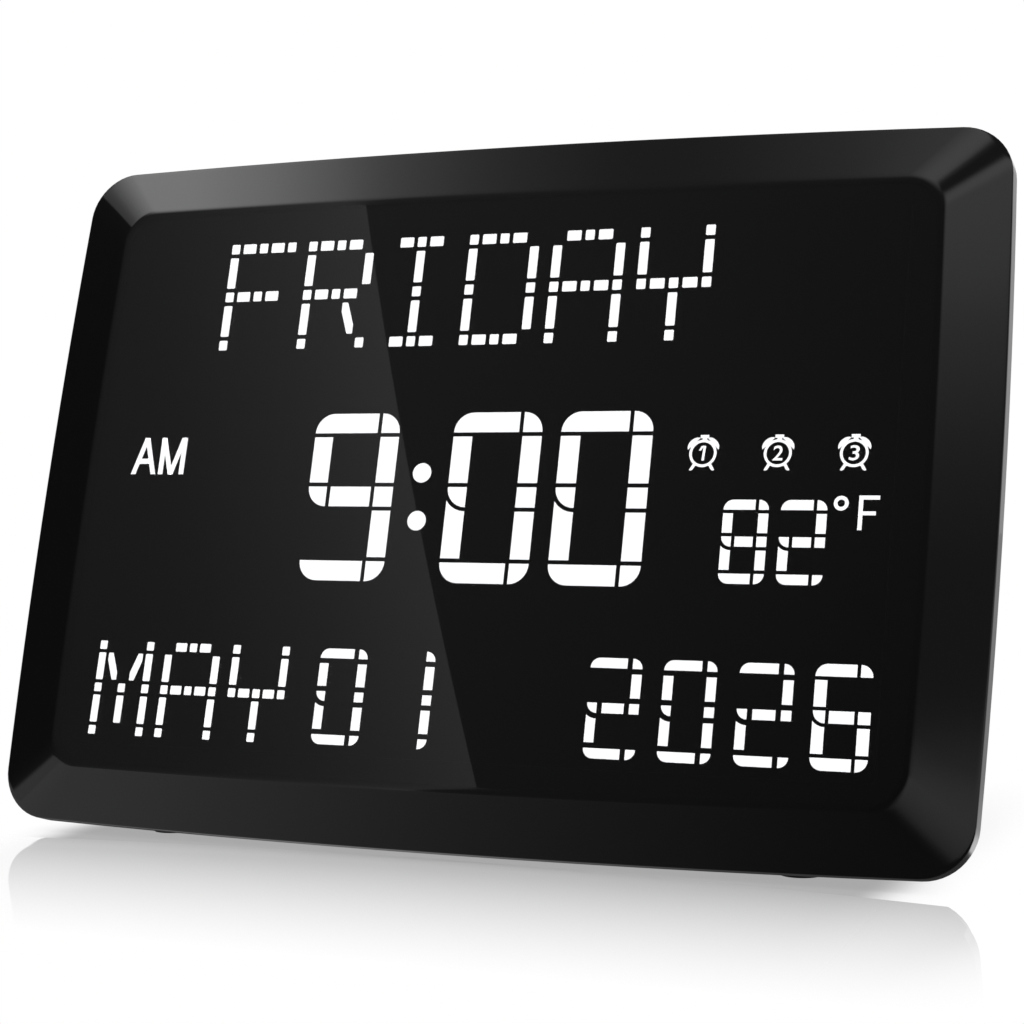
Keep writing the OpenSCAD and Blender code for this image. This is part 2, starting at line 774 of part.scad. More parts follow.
module rear_cover() color("#202124") difference() {
    union() {
        placed() difference() {
            cover_outer();
            cover_inner();
        }
        placed() intersection() {
            cover_outer();
            slab(recess_floor - recess_wall, back_y) recess_shape(recess_wall);
        }
        placed() {
            pin_blocks();
            at_posts() bar(0, 0, tube_front, cover_inside + eps, post_r + tube_wall);
            at_control_posts() bar(0, 0, control_back, cover_inside + eps, control_post_r);
            mirrored() keyhole_pocket(pocket_wall, cover_inside - pocket_deep - pocket_wall);
        }
        foot_lugs();
    }
    placed() {
        slab(recess_floor, back_y + eps) recess_shape(0);
        translate([-leg_top_w / 2 - leg_side - pin_block, hinge_y, hinge_z]) rotate([0, 90, 0])
            cylinder(r = pin_r + hinge_fit, h = leg_top_w + 2 * leg_side + 2 * pin_block,
                $fn = round_fn);
        at_posts() {
            bar(0, 0, tube_front - eps, back_y, screw_r + board_fit);
            bar(0, 0, head_seat, back_y + eps, head_r + head_play);
        }
        at_control_posts() bar(0, 0, control_back - eps, control_back + small_bite + 1,
            small_screw_r + thread_fit);
        for (i = [0:buttons - 1])
            bar(button_x(i), button_z, cover_inside - eps, back_y + eps, button_r + loose);
        mirrored() {
            keyhole_pocket(0, cover_inside - pocket_deep);
            slab(cover_inside, back_y + eps) translate([keyhole_x, keyhole_z]) keyhole();
        }
        door_opening(0, back_y - door_plate - door_seat, back_y + eps);
        door_opening(door_lip, cover_inside - eps, back_y);
        at_socket() bar(0, 0, cover_inside - eps, back_y + eps, socket_rim_r + loose);
        slab(cover_inside - eps, back_y + eps) translate(buzzer_place) intersection() {
            circle(r = grille_r, $fn = round_fn);
            for (i = [0:grille_slots - 1]) translate([0, (i - (grille_slots - 1) / 2) * grille_pitch])
                square([2 * grille_r, grille_slot], center = true);
        }
    }
    mirrored() translate([foot_x, foot_y, lug_bottom - eps])
        cylinder(r = foot_r + board_fit, h = lug_sink + eps, $fn = round_fn);
}

module cover_screws() color("#3a3b3e") placed() at_posts() {
    difference() {
        bar(0, 0, head_seat, head_seat + head_t, head_r);
        block(0, 0, drive_l, drive_w, head_seat + head_t - drive_deep, head_seat + head_t + eps);
        block(0, 0, drive_w, drive_l, head_seat + head_t - drive_deep, head_seat + head_t + eps);
    }
    bar(0, 0, head_seat - cover_screw_l, head_seat + eps, screw_r);
}

module rubber_feet() color("#111112") mirrored() translate([foot_x, foot_y, 0])
    cylinder(r = foot_r, h = rubber_t, $fn = round_fn);

// Plate flush with the back, and a lip that fills the opening behind it
module battery_door() color("#26272a") placed() difference() {
    union() {
        door_opening(loose, back_y - door_plate, back_y);
        door_opening(door_lip + loose, cover_inside, back_y - door_plate + eps);
    }
    // thumb notch
    slab(back_y - notch_deep, back_y + eps) translate(cell_place + [0, door_w / 2 - notch_down])
        round_rect(notch.x, notch.y, notch.y / 2 - eps);
}

// ---- stand ----

module hinge_pin() color("#b4b6b9") placed() at_hinge() rotate([0, 90, 0])
    cylinder(r = pin_r, h = leg_top_w + 2 * leg_side + 2 * pin_block - 1, center = true,
        $fn = round_fn);

// Half width of the stand at a distance below its hinge
function leg_half(d) = leg_top_w / 2 + (leg_foot_w - leg_top_w) / 2 * d / leg_l;

leg_border = 2.4;
rib_t = 2;
rib_gap = 16;
rib_first = 9;       // below the hinge
rib_last = 15;       // above the end
ribs = floor((leg_l - rib_first - rib_last) / rib_gap);
leg_spare = 3;       // cut off level with the table

// The stand as it lies folded, hinge at the origin: skin, border and ribs, with its barrel
module folded_leg() difference() {
    union() {
        slab(leg_in, leg_out) polygon([
            [-leg_half(0), heel], [leg_half(0), heel],
            [leg_half(leg_l + leg_spare), -leg_l - leg_spare],
            [-leg_half(leg_l + leg_spare), -leg_l - leg_spare]]);
        rotate([0, 90, 0]) cylinder(r = barrel_r, h = leg_top_w, center = true, $fn = round_fn);
        translate([-leg_half(0), -barrel_r, 0]) cube([leg_top_w, barrel_r + leg_out, heel]);
    }
    // pockets on the inner side, two abreast
    for (i = [0:ribs - 1]) {
        top = -rib_first - i * rib_gap;
        foot = top - rib_gap + rib_t;
        mirrored() slab(leg_in - eps, leg_out - leg_skin) polygon([
            [rib_t / 2, top], [leg_half(-top) - leg_border, top],
            [leg_half(-foot) - leg_border, foot], [rib_t / 2, foot]]);
    }
    // the bore leaves by both sides, which lean outwards below the top of the stand
    rotate([0, 90, 0]) cylinder(r = pin_r + hinge_fit, h = leg_foot_w, center = true,
        $fn = round_fn);
}

module stand_leg() color("#232427") difference() {
    placed() difference() {
        at_hinge() rotate([stand_angle, 0, 0]) folded_leg();
        // the heel lands on the floor of the recess and stops the stand
        translate([-leg_top_w, 0, recess_top - leg_l / 2])
            cube([2 * leg_top_w, recess_floor + heel_gap, leg_l / 2]);
    }
    // the end is cut level with the table, where the rubber is fixed
    translate([-leg_foot_w, leg_foot_y - leg_l / 2, -leg_l])
        cube([2 * leg_foot_w, leg_l, leg_l + rubber_t]);
}

module stand_foot() color("#111112")
    translate([strip_in - leg_foot_w / 2, leg_foot_y - leg_t / 2 + strip_edge, 0])
        cube([leg_foot_w - 2 * strip_in, leg_t - 2 * strip_edge, rubber_t]);

front_lens();
lens_tape();
inner_frame();
display_film();
diffuser_sheet();
segment_reflector();
led_board();
leds();
driver_chips();
led_board_screws();
board_header();
control_board();
microcontroller();
crystal();
capacitor();
buzzer();
temperature_sensor();
cell_holder();
cell_contacts();
coin_cell();
power_socket();
socket_pin();
tact_switches();
control_board_screws();
rear_cover();
cover_screws();
hinge_pin();
rubber_feet();
battery_door();
stand_leg();
stand_foot();
button(0);  // set_button
button(1);  // up_button
button(2);  // down_button
button(3);  // alarm_button
button(4);  // dimmer_button
button(5);  // sound_button
plunger(0);  // set_plunger
plunger(1);  // up_plunger
plunger(2);  // down_plunger
plunger(3);  // alarm_plunger
plunger(4);  // dimmer_plunger
plunger(5);  // sound_plunger
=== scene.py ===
# %% [markdown]
# # A leaning LED day clock
# This lesson dresses the solids of a day clock. The front is one moulding of gloss black acrylic
# with a smoked window, and the lit strokes stand behind it. The housing, the stand, the buttons
# and the feet are moulded plastic and rubber. The solids come first, as a fixed frame: every new
# piece is placed in the same frame, in metres, so nothing has to be fitted by eye.

# %% Load the frame
import math

import bmesh
import bpy
from mathutils import Matrix, Vector


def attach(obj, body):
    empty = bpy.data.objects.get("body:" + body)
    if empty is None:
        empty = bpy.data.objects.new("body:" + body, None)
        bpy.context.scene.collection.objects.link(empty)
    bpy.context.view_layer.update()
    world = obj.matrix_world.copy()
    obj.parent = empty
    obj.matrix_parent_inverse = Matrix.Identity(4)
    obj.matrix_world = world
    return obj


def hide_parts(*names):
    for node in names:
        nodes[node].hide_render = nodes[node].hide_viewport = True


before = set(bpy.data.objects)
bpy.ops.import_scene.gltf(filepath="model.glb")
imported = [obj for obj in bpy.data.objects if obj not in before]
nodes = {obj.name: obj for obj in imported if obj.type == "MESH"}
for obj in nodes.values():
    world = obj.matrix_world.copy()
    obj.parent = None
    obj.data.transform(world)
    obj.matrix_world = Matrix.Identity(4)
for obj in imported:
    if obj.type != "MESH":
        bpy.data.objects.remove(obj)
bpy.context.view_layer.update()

MM = 0.001
WHITE = (1.0, 1.0, 1.0, 1.0)

# %% [markdown]
# ## The leaning face
# The face leans back by 15.35 degrees. It is much easier to draw upright, with x to the right,
# z up from the middle of the face and y back from the rim, so each piece is drawn like that in
# millimetres and leaned once it is whole. The matrix below does what the lean does to the solids.

# %% Place for everything on the face
LEAN = math.radians(15.35)
RIM_CENTRE = Vector((0.0, -0.0104388, 0.1011282))
ON_FACE = Matrix.Translation(RIM_CENTRE) @ Matrix.Rotation(-LEAN, 4, "X") @ Matrix.Scale(MM, 4)
SMOOTH_BELOW = math.radians(30.0)


def keep(bm, name, body, materials, matrix=ON_FACE):
    """Makes a piece of a drawn mesh: places it, smooths its curves and lets it ride on a body."""
    bmesh.ops.transform(bm, matrix=matrix, verts=bm.verts)
    mesh = bpy.data.meshes.new(name)
    bm.to_mesh(mesh)
    bm.free()
    mesh.shade_smooth()
    mesh.set_sharp_from_angle(angle=SMOOTH_BELOW)
    for material in materials:
        mesh.materials.append(material)
    piece = bpy.data.objects.new(name, mesh)
    bpy.context.scene.collection.objects.link(piece)
    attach(piece, body)
    print(name, "faces:", len(mesh.polygons))
    return piece


# %% [markdown]
# ## Node groups that several finishes share
# No moulded surface is perfectly even. A slow cloud of noise that moves the roughness a little
# keeps a gloss or satin finish from looking computed, and the same cloud suits acrylic, ABS,
# rubber and metal, so it is one group with its own range in each material. The spark-eroded
# grain of a mould is a second group, and the brushed lines of sheet metal are a third.

# %% Build the shared groups
def group(name, inputs, outputs):
    """An empty node group with named inputs and outputs."""
    tree = bpy.data.node_groups.new(name, "ShaderNodeTree")
    for label, kind, value in inputs:
        socket = tree.interface.new_socket(name=label, in_out="INPUT", socket_type=kind)
        if value is not None:
            socket.default_value = value
    for label, kind in outputs:
        tree.interface.new_socket(name=label, in_out="OUTPUT", socket_type=kind)
    return tree, tree.nodes.new("NodeGroupInput"), tree.nodes.new("NodeGroupOutput")


def add(tree, kind, settings=None, **inputs):
    """A node with its settings and its inputs: a socket is linked, anything else is a value.
    An input is given by its name, or as i0, i1 and so on by its number."""
    node = tree.nodes.new(kind)
    for key, value in (settings or {}).items():
        setattr(node, key, value)
    for key, value in inputs.items():
        numbered = key[0] == "i" and key[1:].isdigit()
        slot = node.inputs[int(key[1:]) if numbered else key]
        if isinstance(value, bpy.types.NodeSocket):
            tree.links.new(value, slot)
        else:
            slot.default_value = value
    return node


def math_step(tree, operation, a, b=0.0):
    return add(tree, "ShaderNodeMath", {"operation": operation}, i0=a, i1=b).outputs[0]


def map_range(tree, value, low, high, to_low=0.0, to_high=1.0, smooth=False):
    settings = {"interpolation_type": "SMOOTHSTEP" if smooth else "LINEAR", "clamp": True}
    return add(tree, "ShaderNodeMapRange", settings, i0=value, i1=low, i2=high, i3=to_low,
               i4=to_high).outputs[0]


def fade(tree, value, low, high):
    """1 below low and 0 above high, softly between them."""
    return map_range(tree, value, low, high, 1.0, 0.0, smooth=True)


V, F = "NodeSocketVector", "NodeSocketFloat"

cloud_group, given, result = group(
    "slow_cloud", [("Vector", V, None), ("Scale", F, 60.0), ("Low", F, 0.1), ("High", F, 0.2)],
    [("Value", F)])
cloud = add(cloud_group, "ShaderNodeTexNoise", Vector=given.outputs["Vector"],
            Scale=given.outputs["Scale"], Detail=4.0, Roughness=0.6)
spread = map_range(cloud_group, cloud.outputs["Fac"], 0.3, 0.7, given.outputs["Low"],
                   given.outputs["High"])
cloud_group.links.new(spread, result.inputs["Value"])

grain_group, given, result = group(
    "mould_grain", [("Vector", V, None), ("Scale", F, 900.0)], [("Height", F), ("Pits", F)])
coarse = add(grain_group, "ShaderNodeTexVoronoi", {"feature": "SMOOTH_F1"},
             Vector=given.outputs["Vector"], Scale=given.outputs["Scale"], Smoothness=0.6)
fine = add(grain_group, "ShaderNodeTexNoise", Vector=given.outputs["Vector"],
           Scale=math_step(grain_group, "MULTIPLY", given.outputs["Scale"], 2.3), Detail=3.0)
height = math_step(grain_group, "ADD", coarse.outputs["Distance"],
                   math_step(grain_group, "MULTIPLY", fine.outputs["Fac"], 0.5))
grain_group.links.new(height, result.inputs["Height"])
grain_group.links.new(map_range(grain_group, coarse.outputs["Distance"], 0.1, 0.6),
                      result.inputs["Pits"])

brush_group, given, result = group(
    "brushed_lines", [("Vector", V, None), ("Stretch", V, (40.0, 4000.0, 4000.0))],
    [("Height", F), ("Value", F)])
drawn_out = add(brush_group, "ShaderNodeVectorMath", {"operation": "MULTIPLY"},
                i0=given.outputs["Vector"], i1=given.outputs["Stretch"])
lines = add(brush_group, "ShaderNodeTexNoise", Vector=drawn_out.outputs[0], Scale=1.0, Detail=5.0,
            Roughness=0.7)
brush_group.links.new(lines.outputs["Fac"], result.inputs["Height"])
brush_group.links.new(map_range(brush_group, lines.outputs["Fac"], 0.3, 0.7),
                      result.inputs["Value"])
print("groups:", [g.name for g in bpy.data.node_groups])

# %% [markdown]
# ## Gloss black acrylic and the smoked window
# The front is moulded in one piece and printed black inside, except for the window, where the
# grey of the acrylic itself hides everything that isn't lit. Both have the same polished skin, so
# the edge of the print doesn't show from outside. A painted black box with a glass plate on it
# would show that edge, so the moulding gets two materials that differ only in what light meets
# under the skin: black print, or a sixteenth of the light let through.

# %% Acrylic
def finish(name, colour, roughness, metallic=0.0, ior=1.5):
    """A material with a Principled shader whose constants are set straight on its sockets."""
    material = bpy.data.materials.new(name)
    material.use_nodes = True
    tree = material.node_tree
    shader = tree.nodes["Principled BSDF"]
    shader.inputs["Base Color"].default_value = (*colour, 1.0)
    shader.inputs["Roughness"].default_value = roughness
    shader.inputs["Metallic"].default_value = metallic
    shader.inputs["IOR"].default_value = ior
    place = tree.nodes.new("ShaderNodeTexCoord").outputs["Object"]
    return material, tree, shader, place


def use(tree, shared, **inputs):
    return add(tree, "ShaderNodeGroup", {"node_tree": shared}, **inputs)


def cloudy_roughness(tree, shader, place, scale, low, high):
    cloud = use(tree, cloud_group, Vector=place, Scale=scale, Low=low, High=high)
    tree.links.new(cloud.outputs["Value"], shader.inputs["Roughness"])


def bump(tree, shader, height, strength, distance):
    node = add(tree, "ShaderNodeBump", Height=height, Strength=strength, Distance=distance)
    tree.links.new(node.outputs["Normal"], shader.inputs["Normal"])


ACRYLIC_IOR = 1.49
gloss_black, tree, shader, place = finish("gloss_black_acrylic", (0.0011, 0.0011, 0.0012), 0.05,
                                          ior=ACRYLIC_IOR)
cloudy_roughness(tree, shader, place, 45.0, 0.035, 0.065)

# the little that isn't let through is a haze, as dark as the print beside the window
smoked, tree, shader, place = finish("smoked_acrylic_window", (0.06, 0.06, 0.061), 0.0,
                                     ior=ACRYLIC_IOR)
shader.inputs["Transmission Weight"].default_value = 0.985
print("acrylic:", gloss_black.name, smoked.name)

# %% [markdown]
# ## The outline of the front
# Seen from the front, the rim is a rectangle with round corners whose four sides bow out by two
# millimetres, and the raised window is a smaller one. A plain rounded box would lose that bow,
# which the eye reads as soft. The outline starts as one square face: its corners are bevelled,
# its long edges are cut finer, and its points are then pushed out along a parabola.

# %% One outline loop
WINDOW = {"half_w": 127.6, "half_h": 86.5, "radius": 10.0, "bow_w": 1.4, "bow_h": 1.4}
RIM = {"half_w": 145.0, "half_h": 102.6, "radius": 13.5, "bow_w": 2.0, "bow_h": 2.3}
WALL = 2.4
SLOPE_W, RISE = 17.4, 4.75
WINDOW_Y = -RISE
WINDOW_BACK = WINDOW_Y + WALL
CORNER_STEPS, SIDE_CUTS = 12, 13
LEAST_RADIUS = 1.5


def outline(bm, y, half_w, half_h, radius, bow_w, bow_h):
    """A closed loop of edges at depth y: a rectangle with round corners and bowed sides."""
    a, b = half_w - bow_w, half_h - bow_h
    corners = bmesh.ops.create_grid(bm, x_segments=1, y_segments=1, size=1.0,
                                    matrix=Matrix.Diagonal((a, b, 1.0, 1.0)))["verts"]
    bevelled = bmesh.ops.bevel(bm, geom=corners, offset=radius, offset_type="OFFSET",
                               segments=CORNER_STEPS, profile=0.5, affect="VERTICES", material=-1)
    face = bevelled["verts"][0].link_faces[0]
    sides = [e for e in face.edges if e.calc_length() > 2.5 * radius]
    bmesh.ops.subdivide_edges(bm, edges=sides, cuts=SIDE_CUTS)
    for v in face.verts:
        x, z = v.co.x, v.co.y
        out_w, out_h = bow_w * (1 - (z / b) ** 2), bow_h * (1 - (x / a) ** 2)
        v.co = (x * (1 + out_w / a), y, z * (1 + out_h / b))
    edges = list(face.edges)
    bmesh.ops.delete(bm, geom=[face], context="FACES_ONLY")
    return edges


def between(share, inset=0.0):
    """The outline that lies a share of the way from the window to the rim, drawn in by inset."""
    mixed = {key: WINDOW[key] + (RIM[key] - WINDOW[key]) * share for key in WINDOW}
    mixed["half_w"] -= inset
    mixed["half_h"] -= inset
    mixed["radius"] = max(mixed["radius"] - inset, LEAST_RADIUS)
    return mixed


test = bmesh.new()
print("points in one outline:", len({v for e in outline(test, 0.0, **RIM) for v in e.verts}))
test.free()

# %% [markdown]
# ## The front moulding
# The moulding is a lofted shell: loops of the outline follow each other from the window over the
# sloping border and the side wall to the inside, and neighbouring loops are bridged. Each edge of
# the real one is rounded, about 1 mm at the window and less at the rim, so a few loops follow a
# small curve there. A further loop lies beyond each end of a rounding and keeps the flats flat,
# or their reflections would bend.

# %% Loft the moulding
WINDOW_ROUND, RIM_ROUND = 1.1, 0.45  # half the width of each rounding
WINDOW_FLAT, RIM_FLAT = 1.6, 1.2     # how far from the edge the further loops lie
STEPS = 5
shares = [step / STEPS for step in range(STEPS + 1)]
stations = [(WINDOW_Y, between(0.0, WINDOW_FLAT))]
for s in shares:
    across = WINDOW_ROUND * (s * s - (1 - s) ** 2)
    down = WINDOW_Y + RISE * WINDOW_ROUND / SLOPE_W * s * s
    stations.append((down, between(across / SLOPE_W) if across > 0 else between(0.0, -across)))
stations.append((WINDOW_Y + RISE * WINDOW_FLAT / SLOPE_W, between(WINDOW_FLAT / SLOPE_W)))
stations.append((-RISE * RIM_FLAT / SLOPE_W, between(1.0 - RIM_FLAT / SLOPE_W)))
for s in shares:
    stations.append((RIM_ROUND * (s * s - RISE / SLOPE_W * (1 - s) ** 2),
                     between(1.0 - RIM_ROUND / SLOPE_W * (1 - s) ** 2)))

# the side wall, its rounded back edge and the inside, as depths and distances from the rim
for y, inset in ((1.2, 0.0), (5.3, 0.0), (5.7, 0.0), (5.92, 0.08), (6.0, 0.3), (6.0, 2.1),
                 (5.8, WALL), (1.745, WALL)):
    stations.append((y, between(1.0, inset)))
stations.append((WINDOW_BACK, between(0.0)))
stations.append((WINDOW_BACK, between(0.0, WINDOW_FLAT)))

# the loops are bridged while they stand apart, as loops in one plane would be joined across
APART = 10.0
bm = bmesh.new()
loops = [outline(bm, APART * k, **shape) for k, (y, shape) in enumerate(stations)]
for near, far in zip(loops, loops[1:]):
    bmesh.ops.bridge_loops(bm, edges=near + far)
for (y, shape), loop in zip(stations, loops):
    for v in {v for edge in loop for v in edge.verts}:
        v.co.y = y
lids = [bmesh.ops.contextual_create(bm, geom=loop)["faces"][0] for loop in (loops[0], loops[-1])]
for face in bm.faces:
    face.material_index = 0 if face in lids else 1
bmesh.ops.recalc_face_normals(bm, faces=bm.faces)
lens = keep(bm, "front_moulding", "root", [smoked, gloss_black])
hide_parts("front_lens")
print("loops:", len(loops))

# %% [markdown]
# ## The strokes of the display
# Each character is a set of flat strokes with thin dark gaps. The weekday and the month use cells
# of five columns and five rows, dots and bars by turns. The numerals have seven long strokes,
# round outer corners and a round shoulder at the waist. Every stroke is a small square face that
# is scaled into place, and a round corner is that corner's point bevelled by the stroke's width.
#
# The sizes were read off the front of the window. The strokes lie 2.4 deeper in glass, so they
# are drawn away from the foot of the camera's perpendicular until both coincide in the picture.

# %% Draw strokes
EYE = Vector((255.9, -151.1, 0.0))
DEEPER = 1.00266
BEHIND_GLASS = (Matrix.Translation(EYE) @ Matrix.Diagonal((DEEPER, DEEPER, 1.0, 1.0))
                @ Matrix.Translation(-EYE))
CUT_SHIFT = 0.08           # from the middle of a bar's end to the cut, in widths of the bar
CUT_NORMAL = (0.66, 0.54)  # across in heights of the bar, and along in its widths


class Strokes:
    """A flat drawing in millimetres, x to the right and y up, that becomes a thin piece."""

    def __init__(self):
        self.bm = bmesh.new()

    def bar(self, x, y, w, h, lean=0.0, rounded=(), radius=0.0, segments=8):
        """A w by h bar from its lower left corner; rounded holds corners such as (0, 1)."""
        middle = Matrix.Translation((x + w / 2, y + h / 2, 0.0))
        verts = bmesh.ops.create_grid(self.bm, x_segments=1, y_segments=1, size=0.5,
                                      matrix=middle @ Matrix.Diagonal((w, h, 1.0, 1.0)))["verts"]
        chosen = [v for v in verts if (v.co.x > x + w / 2, v.co.y > y + h / 2) in rounded]
        for v in verts:
            v.co.x += lean * (v.co.y - y - h / 2)
        if chosen:
            bmesh.ops.bevel(self.bm, geom=chosen, offset=radius, offset_type="OFFSET",
                            segments=segments, profile=0.5, affect="VERTICES", material=-1)
        return verts

    def slanting(self, x, y, w, h, side, radius):
        """The w by h bar with two opposite corners cut off; side is 1 if it falls to the right."""
        face = self.bar(x, y, w, h)[0].link_faces[0]
        for end in (-1, 1):
            parts = [face, *face.edges, *face.verts]
            point = (x + w / 2 - CUT_SHIFT * end * side * w, y + h / 2 + end * h / 2, 0.0)
            normal = (end * side * CUT_NORMAL[0] * h, end * CUT_NORMAL[1] * w, 0.0)
            kept = bmesh.ops.bisect_plane(self.bm, geom=parts, dist=1e-6, plane_co=point,
                                          plane_no=normal, clear_outer=True)["geom"]
            face = next(g for g in kept if isinstance(g, bmesh.types.BMFace))
        bmesh.ops.bevel(self.bm, geom=list(face.verts), offset=radius, offset_type="OFFSET",
                        segments=2, profile=0.5, affect="VERTICES", material=-1)

    def disc(self, x, y, radius):
        bmesh.ops.create_circle(self.bm, cap_ends=True, segments=32, radius=radius,
                                matrix=Matrix.Translation((x, y, 0.0)))

    def piece(self, name, front, back, material, matrix):
        """Gives the drawing its thickness, from depth front to depth back, and places it."""
        flat = list(self.bm.faces)
        made = bmesh.ops.extrude_face_region(self.bm, geom=flat)["geom"]
        top = [v for v in made if isinstance(v, bmesh.types.BMVert)]
        bmesh.ops.translate(self.bm, verts=top, vec=(0.0, 0.0, back - front))
        bmesh.ops.recalc_face_normals(self.bm, faces=self.bm.faces)
        upright = Matrix.Translation((0.0, back, 0.0)) @ Matrix.Rotation(math.pi / 2, 4, "X")
        return keep(self.bm, name, "root", [material], matrix=matrix @ upright)


ALL = ((0, 0), (0, 1), (1, 0), (1, 1))

# five rows of five strokes, from the top; the four strokes beside the middle slant
LETTERS = {
    " ": (".....", ".....", ".....", ".....", "....."),
    "F": ("#####", "#....", "####.", "#....", "#...."),
    "R": ("####.", "#...#", "####.", "#..#.", "#...#"),
    "I": (".###.", "..#..", "..#..", "..#..", ".###."),
    "D": ("####.", "#...#", "#...#", "#...#", "####."),
    "A": (".###.", "#...#", "#####", "#...#", "#...#"),
    "Y": ("#...#", "#...#", "#####", "..#..", "..#.."),
    "M": ("#...#", "##.##", "#.#.#", "#.#.#", "#...#"),
}


SHARPER = 0.6  # corners of slanting strokes against those of the others


def letter(lit, unlit, x, y, sizes, name, soft):
    """One letter from its lower left corner, of dots and bars by turns. sizes is the width of a
    dot and of a bar, their heights and the gap, and soft is the radius of the corners."""
    dot_w, bar_w, dot_h, bar_h, gap = sizes
    for column in range(5):
        for row in range(5):
            w = bar_w if column % 2 else dot_w
            h = bar_h if row % 2 else dot_h
            left = x + column * gap + (column + 1) // 2 * dot_w + column // 2 * bar_w
            low = y + row * gap + (row + 1) // 2 * dot_h + row // 2 * bar_h
            sheet = lit if LETTERS[name][4 - row][column] == "#" else unlit
            if column % 2 and row % 2:
                sheet.slanting(left, low, w, h, -1 if column == row else 1, SHARPER * soft)
            else:
                sheet.bar(left, low, w, h, 0.0, ALL, soft, segments=3)


print("letters in the drawing:", "".join(LETTERS))

# %% [markdown]
# ## Numerals
# The eleven strokes of a numeral share one waist. The lower left upright ends in a concave arc
# that hugs the round shoulder above it: its top edge is cut fine, and each of its points is
# dropped onto a circle round the same centre.

# %% Draw numerals
UNLIT = {
    " ": ("top", "top corner", "upper left", "upper right", "shoulder", "waist", "waist right",
          "lower left", "lower right", "foot", "foot corner"),
    "0": ("waist",),
    "1": ("top", "upper left", "shoulder", "waist", "lower left", "foot"),
    "2": ("upper left", "lower right"),
    "6": ("upper right",),
    "8": (),
    "9": ("lower left",),
}


ROUND_CORNER = 0.98  # radius of an outer corner, in widths of the stroke
TIME = (26.8, 49.2, 5.8, 1.2)


def numeral(lit, unlit, x, y, sizes, value):
    """One numeral from its lower left corner. sizes is width, height, stroke and gap."""
    w, h, s, g = sizes
    sheet = {part: lit for part in UNLIT[" "]}
    sheet.update({part: unlit for part in UNLIT[value]})
    right, top = x + w - s, y + h - s
    waist = y + (h - s) / 2
    upright = waist - y - s - 2 * g
    curl = ROUND_CORNER * s
    sheet["top"].bar(x, top, w - s - g, s, 0.0, ((0, 1),), curl)
    sheet["top corner"].bar(right, top, s, s, 0.0, ((1, 1),), curl)
    sheet["upper left"].bar(x, waist + s + g, s, upright)
    sheet["upper right"].bar(right, waist + s + g, s, upright)
    sheet["shoulder"].bar(x, waist, s, s, 0.0, ((0, 0),), curl)
    sheet["waist"].bar(x + s + g, waist, w - 2 * s - 2 * g, s)
    sheet["waist right"].bar(right, waist, s, s)
    sheet["lower right"].bar(right, y + s + g, s, upright)
    sheet["foot"].bar(x, y, w - s - g, s, 0.0, ((0, 0),), curl)
    sheet["foot corner"].bar(right, y, s, s, 0.0, ((1, 0),), curl)
    leg = sheet["lower left"]
    verts = leg.bar(x, y + s + g, s, waist - y - s)
    crown = [e for e in verts[0].link_faces[0].edges if all(v.co.y > waist for v in e.verts)]
    cut = bmesh.ops.subdivide_edges(leg.bm, edges=crown, cuts=7)["geom_split"]
    for v in {v for edge in cut if isinstance(edge, bmesh.types.BMEdge) for v in edge.verts}:
        v.co.y = waist + s - math.sqrt(max((s + g) ** 2 - (v.co.x - x - s) ** 2, 0.0))


test = Strokes()
numeral(test, test, 0.0, 0.0, TIME, "8")
print("strokes of a numeral:", len(test.bm.faces))
test.bm.free()

# %% [markdown]
# ## Everything the clock shows
# The glyphs are lit white shapes on one printed film. The strokes that are off are drawn too,
# almost as dark as the film, because on the real one they can just be made out in strong light.

# %% Lay out the display
lit, unlit = Strokes(), Strokes()
DAY = (2.7, 4.25, 3.0, 9.6, 1.275)
MONTH = (2.32, 3.57, 2.52, 7.96, 1.02)
DATE = (14.65, 27.1, 2.75, 1.5)
LAST_OF_YEAR = (15.1, 27.6, 3.25, 1.0)
TEMPERATURE = (12.5, 22.9, 2.75, 1.0)
WORDS_LEFT, DAY_PITCH, MONTH_PITCH = -114.4, 26.07, 22.25
for index, name in enumerate(" FRIDAY  "):
    letter(lit, unlit, WORDS_LEFT + DAY_PITCH * index, 40.5, DAY, name, soft=0.32)
for index, name in enumerate("MAY"):
    letter(lit, unlit, WORDS_LEFT + MONTH_PITCH * index, -75.8, MONTH, name, soft=0.28)

# each row of numerals: their sizes, the height of their feet, what they show and their left ends
for sizes, foot, shown, lefts in (
        (TIME, -28.8, " 900", (-84.7, -52.2, -8.4, 24.1)),
        (DATE, -75.4, "01202", (-41.7, -20.95, 39.35, 60.1, 80.85)),
        (LAST_OF_YEAR, -75.5, "6", (101.1,)),
        (TEMPERATURE, -27.4, "82", (72.7, 88.5))):
    for left, value in zip(lefts, shown):
        numeral(lit, unlit, left, foot, sizes, value)
COLON_X, COLON_RADIUS = -16.9, 2.85
for height in (2.8, -11.1):
    lit.disc(COLON_X, height, COLON_RADIUS)
print("lit faces:", len(lit.bm.faces), "unlit faces:", len(unlit.bm.faces))

# %% [markdown]
# ## Small signs
# A day clock shows AM or PM, a degree sign and an alarm clock for each alarm. The alarm clocks
# are built from the simplest shapes: a ring, two bell caps, a knob and two feet. Letters and
# figures come from a text object, which is turned into a mesh before it is placed.

# %% Draw the signs
RING_OUTER, RING_INNER = 3.85, 3.1
BELL_W, BELL_H, BELL_OUT = 2.4, 1.75, 3.3  # half sizes, and its middle from that of the ring
BELL_CHORD = 2.65                          # where the bell is cut, across and up from there
FOOT_OUT, FOOT_DOWN, FOOT_W, FOOT_H, FOOT_LEAN = 2.6, 4.75, 1.0, 1.9, 0.6
AROUND = 40                                # sides of a circle


